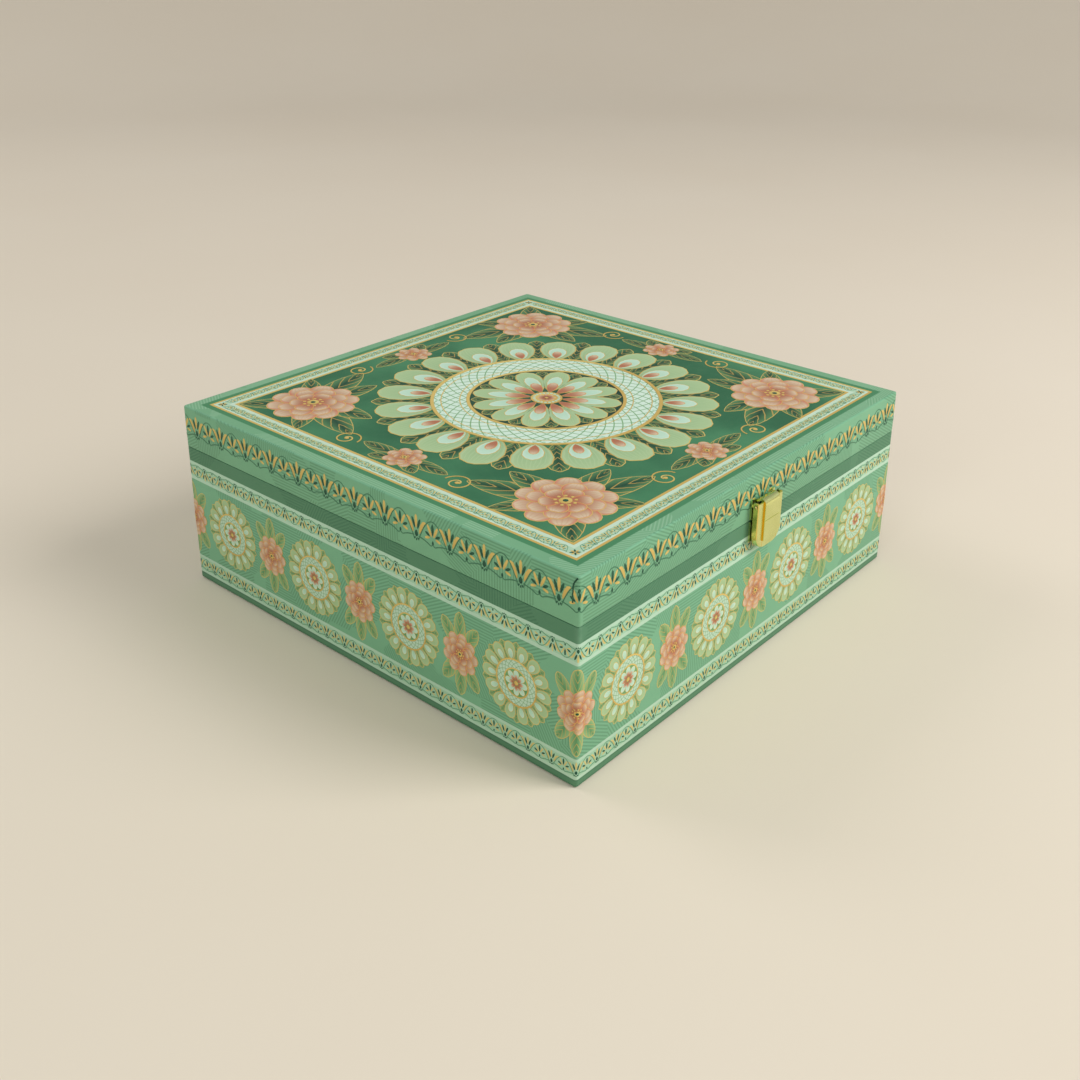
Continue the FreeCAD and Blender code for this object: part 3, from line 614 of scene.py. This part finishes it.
# %% Plain inks
def ink_feel(finish, colour, rough=0.34):
    """Every ink has the same low sheen and fine grain."""
    finish.feed("Base Color", colour)
    finish.feed("Roughness", finish.noise(420.0) * 0.16 + rough)
    finish.bump(finish.noise(1900.0, 2.0), 0.02 * MM, 0.25)
    return finish


def ink_finish(name, foot, tip, edge, edge_share, fine=0, fine_tone=None, turn=0.5, metallic=0.0):
    """Colour goes from foot to tip along a leaf, turning halfway or later, and towards edge at its sides and
    end. Fine lines run along it if asked."""
    finish = Finish(name, {**SATIN, "Metallic": metallic})
    along, across = finish.map("leaf")
    colour = finish.mix(along.above(turn, 1 - turn), foot, tip)
    rim = abs(across * 2 - 1).above(0.8, 0.2).most(along.above(0.92, 0.08))
    colour = finish.mix(rim * edge_share, colour, edge)
    if fine:
        colour = finish.mix((across * fine).wave().above(0.75, 0.2) * 0.35, colour, fine_tone)
    tone = finish.noise(300.0)
    return ink_feel(finish, finish.mix(tone * 0.1, colour, foot), 0.32)


inks = {
    "gold": ink_finish(
        "gold_ink", ink(206, 173, 95), ink(225, 198, 118), ink(196, 160, 84), 0.3, metallic=0.1
    ),
    "straw": ink_finish("straw_gold_ink", ink(206, 182, 108), ink(222, 204, 134), ink(196, 168, 94), 0.3),
    "green": ink_finish("dark_leaf_ink", ink(30, 70, 54), ink(50, 100, 76), ink(26, 62, 48), 0.5),
    "vine": ink_finish("vine_ink", ink(74, 122, 93), ink(82, 131, 101), ink(66, 114, 87), 0.4),
    "soft_vine": ink_finish(
        "soft_vine_ink", ink(104, 154, 120), ink(112, 162, 128), ink(98, 148, 114), 0.4
    ),
    "meadow": ink_finish("meadow_ink", ink(98, 152, 102), ink(118, 168, 112), ink(134, 180, 122), 0.5),
    "sage": ink_finish(
        "sage_ink",
        ink(146, 180, 134),
        ink(172, 198, 148),
        ink(186, 206, 158),
        0.5,
        fine=9,
        fine_tone=ink(188, 208, 164),
    ),
    "mint": ink_finish("mint_ink", ink(168, 208, 180), ink(198, 226, 204), ink(212, 233, 214), 0.6),
    "peach": ink_finish(
        "peach_ink",
        ink(174, 110, 82),
        ink(224, 206, 174),
        ink(212, 106, 84),
        0.66,
        fine=5,
        fine_tone=ink(196, 150, 116),
        turn=0.68,
    ),
}
print("plain inks:", len(inks))

# %% Veined and latticed inks
def veined_ink(name, middle, side, shadow):
    """A leaf that is darker along its middle, with gold veins that slant from there to its edges."""
    finish = Finish(name, SATIN)
    along, across = finish.map("leaf")
    out = abs(across * 2 - 1)
    colour = finish.mix(out, middle, side)
    vein = (along * 7 - out * 1.6).wave().above(0.86, 0.06)
    colour = finish.mix(vein * 0.8, colour, ink(210, 172, 92))
    return ink_feel(finish, finish.mix(finish.noise(180.0) * 0.2, colour, shadow))


inks["leaf"] = veined_ink("veined_leaf_ink", ink(30, 74, 54), ink(92, 140, 92), ink(20, 56, 42))
inks["spring"] = veined_ink("spring_leaf_ink", ink(96, 148, 100), ink(156, 190, 132), ink(80, 132, 92))


def lattice_ink(name, around, deep, low, high):
    """Pale mint crossed by two sets of slanting lines, counted round the ring and across it."""
    finish = Finish(name, SATIN)
    along, across = finish.map("leaf")
    rising = (along * around + across * deep).wave().above(0.86, 0.08)
    falling = (along * around - across * deep).wave().above(0.86, 0.08)
    ground = finish.mix(finish.noise(90.0), low, high)
    lined = 1 - (1 - rising) * (1 - falling)
    return ink_feel(finish, finish.mix(lined, ground, ink(128, 172, 122)))


inks["lattice"] = lattice_ink("lattice_ink", 48, 3, ink(204, 229, 211), ink(220, 238, 222))
inks["small_lattice"] = lattice_ink("small_lattice_ink", 20, 2, ink(184, 212, 188), ink(196, 220, 198))
print("inks:", ", ".join(inks))

# %% [markdown]
# ## Collecting the ornament
# A print shop would run one plate for each ink. Motifs does the same: shapes are added by ink with their
# lift over the paper, and at the end each ink becomes one piece. A Solidify modifier roots every shape in
# the paper below, so it is a thin closed solid. Petals overlap like shingles, as each is tilted across.

# %% Motifs
FIRST_LIFT, TIER, ROOT = 0.04, 0.022, 0.03


class Motifs:
    """Flat shapes by ink: arrays (copies, rows, columns, 2) in millimetres, each on a tier, some tilted."""

    def __init__(self):
        self.plates = {}

    def add(self, name, shapes, tier, tilt=0.0, closed=False):
        lift = FIRST_LIFT + TIER * tier
        self.plates.setdefault(name, []).append((np.asarray(shapes, float), lift, tilt, closed))

    def petals(self, name, centres, headings, length, width, tier, outline=0.35, tilt=0.0, **form):
        """Blades over slightly larger gold ones one tier below, which show as outlines."""
        grown = blade(length + 2 * outline, width + 2 * outline, -outline, **form)
        self.add("gold", stamp(grown, centres, headings), tier, tilt)
        self.add(name, stamp(blade(length, width, **form), centres, headings), tier + 1, tilt)

    def build(self, prefix, carry, body):
        """One piece per ink: carries all its shapes onto the box and roots them in the paper."""
        for name, parts in self.plates.items():
            points, faces, pairs, count = [], [], [], 0
            for shapes, lift, tilt, closed in parts:
                copies, rows, columns = shapes.shape[:3]
                across = np.linspace(-1, 1, columns)
                points.append(carry(shapes[..., 0], shapes[..., 1], lift + tilt * across).reshape(-1, 3))
                row, column = quads(rows, columns, closed)
                one = (row % rows) * columns + column
                first = count + rows * columns * np.arange(copies)
                faces.append((one[None] + first[:, None, None]).reshape(-1, 4))
                span = rows if closed else rows - 1
                pair = np.stack([row / span, column / (columns - 1)], -1)
                pairs.append(np.tile(pair, (copies, 1, 1)))
                count += copies * rows * columns
            pairs = np.concatenate(pairs)
            made = make_piece(
                f"{prefix}_{name}",
                np.concatenate(points),
                np.concatenate(faces),
                {"leaf": pairs, "OFBake": 0.01 + 0.98 * pairs},
                inks[name],
                flat=True,
            )
            rooted = made.modifiers.new("rooted", "SOLIDIFY")
            rooted.thickness = (max(lift + abs(tilt) for _, lift, tilt, _ in parts) + ROOT) * MM
            rooted.offset = -1
            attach(made, body)
            print(made.name, "has", len(made.data.polygons), "quads")


print("tiers of ink are", TIER, "mm apart")

# %% [markdown]
# ## The leaf borders
# Every border on the box is one old pattern at its own size. A great fan of three gold leaves alternates
# with a small fan of four; dark leaves stand between, and a thin vine arches over each small fan and swings
# under it. Each stroke is written once, in millimetres as the lid has it: its ink, whether it stands alone
# or with its mirror image, the foot, pull and tip of its bow, its width, and where it is widest.
# Drawn by hand the walls would take thousands of strokes; placed by rule, the fans meet at every corner.
# A short dark line at the near corner is the edge of the paper, where its ends overlap.

# %% The border's strokes
BORDER_PITCH = 19.6
ALONE, PAIR = (1,), (1, -1)
GREAT_FAN = [
    ("gold", ALONE, (0, 5.6), (0, 8.7), (0, 11.9), 1.6, 0.62),
    ("gold", PAIR, (1.8, 3.2), (3.9, 10.2), (5.9, 9.4), 1.65, 0.42),
    ("green", PAIR, (0.8, 5.2), (1.5, 8.0), (2.5, 10.2), 1.55, 0.55),
    ("green", ALONE, (0, 1.5), (0, 3), (0, 4.7), 2.2, 0.45),
    ("green", PAIR, (0.6, 1.3), (0.9, 0.8), (1.5, 0.1), 0.9, 0.6),
    ("green", ALONE, (0, 0.9), (0, 0.3), (0, -0.4), 0.8, 0.6),
]
SMALL_FAN = [
    ("gold", PAIR, (0.5, 4.2), (1.5, 6.4), (3.0, 9.5), 1.4, 0.6),
    ("green", ALONE, (0, 4.9), (0, 7.5), (0, 10.3), 1.65, 0.6),
    ("gold", PAIR, (1.6, 3.8), (3, 3.6), (4.6, 2.9), 1.25, 0.6),
    ("green", PAIR, (1.6, 4.4), (3, 5.2), (4.4, 5.8), 1.45, 0.55),
    ("green", ALONE, (0, 0.6), (0, 1.5), (0, 2.6), 1.3, 0.5),
]
BORDER_TIERS = {"green": 0, "gold": 1}
BORDER_FULLNESS = {"green": 1.3, "gold": 1.02}
print("strokes in a great and a small fan:", len(GREAT_FAN), len(SMALL_FAN))

# %% Draw a border
def leaf_border(motifs, small, great, foot, wide, tall, plates, place=lambda shapes: shapes):
    """Small and great fans at the given places along the foot line. wide and tall scale the strokes, and a
    negative tall turns the border over. The vine is a parabola over each small fan and two bows under it.
    plates gives the ink and the weight for gold leaves, for green ones, and for the vine."""
    scale = np.array([wide, tall])
    vine_ink, vine = plates["vine"]

    def feet(along):
        return np.stack([along, np.full(len(along), foot)], -1)

    for along, fan in [(small, SMALL_FAN), (great, GREAT_FAN)]:
        for name, hands, low, pull, tip, width, belly in fan:
            for hand in hands:
                curve = np.array([low, pull, tip]) * [hand, 1] * scale
                plate, weight = plates[name]
                shape = stroke(*curve, width * wide * weight, belly, BORDER_FULLNESS[name], rows=6)
                motifs.add(plate, place(stamp(shape, feet(along), 0)), BORDER_TIERS[name])
    part = np.linspace(-1, 1, 17)
    arch = np.stack([8.5 * part, 0.2 + 11.2 * (1 - part**2)], -1) * scale
    motifs.add(vine_ink, place(ribbon(feet(small)[:, None] + arch, vine)), 2)
    for hand in PAIR:
        fall = bow(part[8:16], (8.4, 2.0), (4.2, 1.5), (1.9, 0.2))
        rise = bow(part[8:], (1.9, 0.2), (0.9, -0.4), (0, 1.0))
        under = np.concatenate([fall, rise]) * [hand, 1] * scale
        motifs.add(vine_ink, place(ribbon(feet(small)[:, None] + under, vine)), 3)


print("a border repeats every", BORDER_PITCH, "mm before it is scaled")

# %% Run the borders round the walls
def round_walls(fans_by_side):
    """Places round the box from a corner on, those halfway between them, and the border's scale."""
    pitch = QUARTER / fans_by_side
    from_corner = QUARTER / 2 + pitch * np.arange(4 * fans_by_side)
    return from_corner, from_corner + pitch / 2, pitch / BORDER_PITCH


LID_FANS, LID_FOOT, SEAM_WIDTH = 13, 80.6, 0.65
BAND_FANS, BAND_FEET, BAND_TALL = 20, (5.5, 65.3), 0.57
LID_PLATES = {"gold": ("gold", 1.0), "green": ("green", 0.9), "vine": ("vine", 0.45)}
BAND_PLATES = {"gold": ("straw", 0.74), "green": ("green", 0.84), "vine": ("soft_vine", 0.3)}
lid_border = Motifs()
from_corner, halfway, wide = round_walls(LID_FANS)
leaf_border(lid_border, from_corner, halfway, LID_FOOT, wide, 1.0, LID_PLATES)
seam = np.array(
    [
        (126, 95.3),
        (125.1, 94),
        (124.2, 92.5),
        (123.8, 90.8),
        (123.9, 89),
        (123.6, 87.4),
        (123.9, 85.8),
        (123.7, 84),
    ]
)
lid_border.add("green", ribbon(seam[None] - [QUARTER, 0], SEAM_WIDTH), 4)
lid_border.build("lid_border", on_wall, "lid")

bands = Motifs()
from_corner, halfway, wide = round_walls(BAND_FANS)
leaf_border(bands, halfway, from_corner, BAND_FEET[0], wide, BAND_TALL, BAND_PLATES)
leaf_border(bands, halfway, from_corner, BAND_FEET[1], wide, -BAND_TALL, BAND_PLATES)
bands.build("base_bands", on_wall, "base")

# %% [markdown]
# ## The top frame
# Two gold lines and a mint band with the same leaf border, smaller still, frame the lid's top.
# The border is drawn along one side and turned three times, so all sides are alike, and a little star
# closes each corner, where the pattern could not turn without being cut.

# %% Frame the top
FRAME_PITCH, FRAME_FANS, FRAME_FOOT, FRAME_TALL = 8.22, 27, -115.5, 0.385
FRAME_PLATES = {"gold": ("straw", 0.8), "green": ("vine", 0.76), "vine": ("soft_vine", 0.2)}
GOLD_LINES, STAR_PLACE = [(116.5, 117.8), (107.7, 109.1)], 113.2
UP = np.pi / 2


def turned(quarter):
    """A quarter-turned copy of flat shapes about the middle of the lid."""
    cos, sin = np.cos(quarter * UP), np.sin(quarter * UP)
    return lambda shapes: shapes @ np.array([[cos, sin], [-sin, cos]])


top_frame = Motifs()
for inner, outer in GOLD_LINES:
    top_frame.add("gold", square_ring(inner, outer), 0, closed=True)
frame_fans = FRAME_PITCH * (np.arange(FRAME_FANS) - (FRAME_FANS - 1) / 2)
halfway = frame_fans[:-1] + FRAME_PITCH / 2
wide = FRAME_PITCH / BORDER_PITCH
for quarter in range(4):
    side = turned(quarter)
    leaf_border(top_frame, frame_fans, halfway, FRAME_FOOT, wide, FRAME_TALL, FRAME_PLATES, side)
corners = np.array([(-1, -1), (1, -1), (1, 1), (-1, 1)])
for heading in range(8):
    star = stamp(blade(2.0, 0.8, 0.3), corners * STAR_PLACE, heading * np.pi / 4)
    top_frame.add("green" if heading % 2 else "gold", star, heading % 2)
top_frame.build("top_frame", on_top, "lid")

# %% [markdown]
# ## Blossoms
# The peach blossoms are plain many-petalled garden flowers. Three rings of petals lie on each other, each
# turned a part of a step, and a gold button with a ring of pearls closes the middle.
# Modelled petals would look like relief, so these stay flat and get their depth from tone, as print does.

# %% Draw blossoms
HEART = 0.07
BLOSSOM_RINGS = [(0, 1.0, 0.56, 0, 0.0), (2, 0.76, 0.48, 3, 0.5), (4, 0.5, 0.4, 6, 0.25)]


def blossom(motifs, centres, radius, tier, petals=10, **grid):
    """Rings of petals round each centre; the rings get shorter and lie higher."""
    for fewer, length, width, over, phase in BLOSSOM_RINGS:
        feet, headings = ring(petals - fewer, HEART * radius, phase)
        motifs.petals(
            "peach",
            (np.asarray(centres)[:, None] + feet).reshape(-1, 2),
            np.tile(headings, len(centres)),
            (length - HEART) * radius,
            width * radius,
            tier + over,
            outline=max(0.2, 0.016 * radius),
            tilt=0.02,
            belly=0.64,
            full=1.3,
            **{"columns": 5, **grid},
        )
    motifs.add("gold", stamp(pearl(0.26 * radius), centres, 0), tier + 9)
    dots = (np.asarray(centres)[:, None] + ring(9, 0.2 * radius)[0]).reshape(-1, 2)
    motifs.add("gold", stamp(pearl(0.07 * radius, rows=5), dots, 0), tier + 9)
    motifs.add("green", stamp(pearl(0.11 * radius), centres, 0), tier + 10)


print("a blossom has", len(BLOSSOM_RINGS), "rings of petals")

# %% [markdown]
# ## The top panel
# A large round medallion fills the lid's top, in sage, mint and gold on deep green, with blossoms and
# veined leaves in the corners. It is the classic layout of a carpet or a plate: rings of petals, a lattice
# ring, and pearls. Rings are easy to place evenly, and they look right from any side when the lid is open.

# %% Compose the medallion
panel = Motifs()
panel.petals("leaf", *ring(20, 57, 0.5), 30, 12, 0, outline=0.5, belly=0.6)
panel.petals("sage", *ring(20, 57), 28.5, 19.4, 2, outline=0.55, belly=0.6, full=1.1, columns=5)
panel.petals("mint", *ring(20, 58), 17, 10, 4, outline=0.4, belly=0.6)
panel.petals("peach", *ring(20, 59), 10, 4.8, 6, outline=0.3, belly=0.6)
panel.add("lattice", annulus(40, 56.8), 0, closed=True)
panel.add("gold", annulus(52.6, 53.1), 1, closed=True)
panel.add("gold", annulus(43.2, 43.7), 1, closed=True)
panel.add("mint", stamp(pearl(1.9), ring(72, 54.8)[0], 0), 1)
panel.add("gold", annulus(56.4, 58.2), 8, closed=True)
panel.add("green", annulus(1, 38.8), 0, closed=True)
panel.add("gold", annulus(38.5, 40.2), 5, closed=True)
panel.petals("leaf", *ring(12, 18, 0.5), 19.5, 8, 1, outline=0.35, belly=0.62)
panel.petals("sage", *ring(12, 10), 27.5, 13, 3, outline=0.5, belly=0.62, full=1.1, columns=5)
panel.petals("mint", *ring(12, 11), 19, 7.5, 5, outline=0.35, belly=0.6)
panel.petals("peach", *ring(12, 8), 13, 5.4, 7, outline=0.3, belly=0.62)
panel.add("gold", annulus(0.4, 8, 48), 9, closed=True)
panel.add("mint", stamp(pearl(1.5), ring(20, 6.3)[0], 0), 10)
panel.petals("peach", *ring(8, 0.3), 4.4, 2.2, 10, outline=0.2, belly=0.6)
panel.add("gold", stamp(pearl(1.8), [(0, 0)], 0), 12)
print("the medallion uses", ", ".join(panel.plates))

# %% Fill the corners and the edges
corner_places = corners * 82.0
inward = np.arctan2(-corners[:, 1], -corners[:, 0])
for swing, length, width, tier in [
    (-62, 46, 15, 0),
    (62, 46, 15, 0),
    (180, 35, 13, 0),
    (-36, 37, 13, 2),
    (36, 37, 13, 2),
    (-98, 33, 11, 2),
    (98, 33, 11, 2),
]:
    panel.petals(
        "leaf",
        corner_places,
        inward + np.radians(swing),
        length,
        width,
        tier,
        outline=0.45,
        belly=0.45,
        rows=11,
    )
blossom(panel, corner_places, 22.5, 5, rows=11)
edge_places, edge_out = ring(4, 96.8)
for swing, length, tier in [(90, 27, 0), (-90, 27, 0), (60, 17, 2), (-60, 17, 2)]:
    panel.petals("leaf", edge_places, edge_out + np.radians(swing), length, 8, tier, outline=0.35, belly=0.5)
blossom(panel, edge_places, 10.0, 5, petals=8)


def scroll(centres, headings, radius, hand):
    """A spiral: the distance from its middle shrinks evenly while the heading makes a turn and a half."""
    part = np.linspace(0, 1, 41)
    angle = headings[:, None] + hand * part * 1.5 * TURN
    reach = radius * (1 - 0.86 * part)
    return centres[:, None] + np.stack([np.cos(angle), np.sin(angle)], -1) * reach[None, :, None]


for hand in (-1, 1):
    sideways = np.stack([-np.sin(edge_out), np.cos(edge_out)], -1) * hand
    middles = edge_places * 1.03 + sideways * 36
    panel.add("gold", ribbon(scroll(middles, edge_out - hand * UP, 7.2, -hand), 0.7), 4)
    panel.add("gold", stamp(pearl(2.2), middles, 0), 5)
panel.build("top_panel", on_top, "lid")

# %% [markdown]
# ## The side panels
# Round the walls run small medallions of the same make as the large one, four to a side, and a peach
# blossom with leaves marks each gap and each corner. All of it is drawn flat and wrapped with the sheet.
# Shapes that go round a corner get a finer grid, or they would cut through it.

# %% Compose the walls
field = Motifs()
UNITS, MIDDLE_Z = 16, 35.3
unit_pitch = 4 * QUARTER / UNITS
gap_u = QUARTER / 2 + unit_pitch * np.arange(UNITS)
wheels = np.stack([gap_u + unit_pitch / 2, np.full(UNITS, MIDDLE_Z)], -1)
gaps = np.stack([gap_u, np.full(UNITS, MIDDLE_Z)], -1)


def round_wheels(count, radius, phase=0.0):
    """A ring of places and headings about every wheel."""
    feet, headings = ring(count, radius, phase)
    return (wheels[:, None] + feet).reshape(-1, 2), np.tile(headings, UNITS)


field.petals("spring", *round_wheels(14, 10.6, 0.5), 8.4, 4.2, 0, outline=0.25, belly=0.6, rows=6)
field.petals("sage", *round_wheels(14, 10.6), 7.8, 5.6, 2, outline=0.3, belly=0.6, full=1.1)
field.petals("mint", *round_wheels(14, 10.9), 4.6, 2.6, 4, outline=0.2, belly=0.6)
field.add("small_lattice", stamp(annulus(6.4, 10.7, 40)[0], wheels, 0), 0, closed=True)
field.add("gold", stamp(annulus(10.4, 11.1, 40)[0], wheels, 0), 6, closed=True)
field.add("meadow", stamp(annulus(0.3, 6.5, 32)[0], wheels, 0), 0, closed=True)
field.add("gold", stamp(annulus(6.2, 6.8, 32)[0], wheels, 0), 3, closed=True)
field.petals("mint", *round_wheels(8, 1.3), 4.6, 2.8, 1, outline=0.2, belly=0.62)
field.add("peach", stamp(blade(2.8, 1.5, belly=0.62, rows=6), *round_wheels(8, 0.9)), 4)
field.add("gold", stamp(pearl(2.0), wheels, 0), 5)
at_corner = np.arange(UNITS) % 4 == 0
LEAF_SPRAY = [(-34, 18, 0), (34, 18, 0), (0, 20, 2), (146, 18, 0), (-146, 18, 0), (180, 20, 2)]
for places, grid in [(gaps[~at_corner], {}), (gaps[at_corner], {"rows": 15, "columns": 9})]:
    for angle, length, tier in LEAF_SPRAY:
        heading = UP + np.radians(angle)
        field.petals("spring", places, heading, length, 6.4, tier, outline=0.28, belly=0.62, **grid)
    blossom(field, places, 10.2, 5, petals=9, **grid)
field.build("side_panel", on_wall, "base")

# %% [markdown]
# ## The CAD pieces' finishes
# The latch and hinges are stamped brass, plated and polished, so they mirror the room with a slight haze
# and carry fine rubbing lines. The linings are cream paper with fibres, the partition is card, and the boards
# are grey-brown fibreboard with flecks. Each CAD piece keeps its shape and only gets its finish.

# %% Mix the metals
# Where the latch's panel meets its side strips, a deeper gold is painted into the crease as shade.
PANEL_SIDE = (5.85 * MM, -132.6 * MM, -131.7 * MM)
LEVER_SIDE, FOLD_REACH = 9.6 * MM, 0.14 * MM
EDGE_GOLD, CREASE_SHADE_GOLD = (0.95, 0.70, 0.20, 1), (0.86, 0.5, 0.05, 1)


def metal(name, light, dark, rough, lines, crease=None):
    """Plated metal: tone and haze wander in soft clouds, and fine rubbing lines run across it.
    A crease, given as distance from the middle and two depths, gets a deeper gold as painted shade, and
    the cut edges get a warmer gold."""
    finish = Finish(name, {"Metallic": 1.0})
    cloud = finish.noise(140.0)
    colour = finish.mix(cloud.above(0.5, 0.3), light, dark)
    if crease:
        out, low, high = crease
        x, y = [finish.node("ShaderNodeSeparateXYZ", {}, {0: finish.place()}, axis) for axis in (0, 1)]
        # Painted shade: a deeper gold along the crease beside the panel.
        away = abs(abs(x) - out).above(FOLD_REACH, 0.05 * MM)
        crease_shade = (1 - away) * y.within(low, high, 0.08 * MM)
        cut_edge = abs(x).above(LEVER_SIDE, 0.1 * MM)
        colour = finish.mix(crease_shade, finish.mix(cut_edge, colour, EDGE_GOLD), CREASE_SHADE_GOLD)
    finish.feed("Base Color", colour)
    stretched = finish.node("ShaderNodeMapping", {}, {"Vector": finish.place(), "Scale": (0.08, 1.0, 1.0)})
    rubbing = finish.noise(lines, 2.0, stretched)
    finish.feed("Roughness", cloud * 0.1 + rubbing * 0.1 + rough)
    finish.bump(rubbing, 0.004 * MM, 0.1)
    return finish


brass = metal("latch_brass_polish", (0.79, 0.84, 0.37, 1), (0.72, 0.76, 0.30, 1), 0.14, 900.0, PANEL_SIDE)
hinge_metal = metal("hinge_brass_polish", (0.72, 0.57, 0.22, 1), (0.60, 0.45, 0.15, 1), 0.2, 900.0)
fixing_metal = metal("fixing_brass_polish", (0.74, 0.60, 0.24, 1), (0.60, 0.45, 0.16, 1), 0.18, 1200.0)
spring_metal = metal("spring_steel_polish", (0.62, 0.62, 0.60, 1), (0.48, 0.48, 0.47, 1), 0.24, 1500.0)
print("metals:", brass.material.name, hinge_metal.material.name)

# %% Mix the papers and boards
def board(name, light, dark, fleck, size, rough=0.75):
    """Paper, card or board: flecks on a wandering ground, with fibres felt as a fine bump."""
    finish = Finish(name, {"Specular IOR Level": 0.3})
    cloud = finish.noise(24.0, 4.0)
    flecks = finish.noise(size, 2.0).above(0.66, 0.05)
    stretched = finish.node("ShaderNodeMapping", {}, {"Vector": finish.place(), "Scale": (0.3, 1.0, 1.0)})
    fibre = finish.noise(size * 1.6, 3.0, stretched)
    colour = finish.mix(cloud.above(0.5, 0.25), light, dark)
    finish.feed("Base Color", finish.mix(flecks * 0.35, colour, fleck))
    finish.feed("Roughness", fibre * 0.2 + (rough - 0.1))
    finish.bump(fibre, 0.06 * MM, 0.4)
    return finish


fibreboard = board("fibreboard_face", ink(160, 138, 106), ink(140, 118, 88), ink(92, 74, 54), 700.0)
lining = board("cream_lining", ink(240, 230, 206), ink(232, 220, 192), ink(204, 184, 146), 900.0, 0.7)
card = board("divider_card_face", ink(232, 222, 196), ink(222, 210, 180), ink(190, 168, 128), 800.0)
under = board("under_paper_face", ink(84, 124, 96), ink(76, 114, 88), ink(58, 92, 70), 900.0)
print("papers and boards:", lining.material.name, card.material.name, fibreboard.material.name)

# %% Dress the CAD pieces
finishes = {
    "latch_brass": brass,
    "hinge_brass": hinge_metal,
    "fixing_brass": fixing_metal,
    "spring_steel": spring_metal,
    "fibreboard": fibreboard,
    "lining_paper": lining,
    "divider_card": card,
    "under_paper": under,
    "printed_paper": wall_print,
}
for part in frame["record"]["subparts"]:
    node = frame["nodes"][part["node"]]
    node.data.materials.clear()
    node.data.materials.append(finishes[part["material_slot"]].material)
print("dressed", len(frame["nodes"]), "CAD pieces")
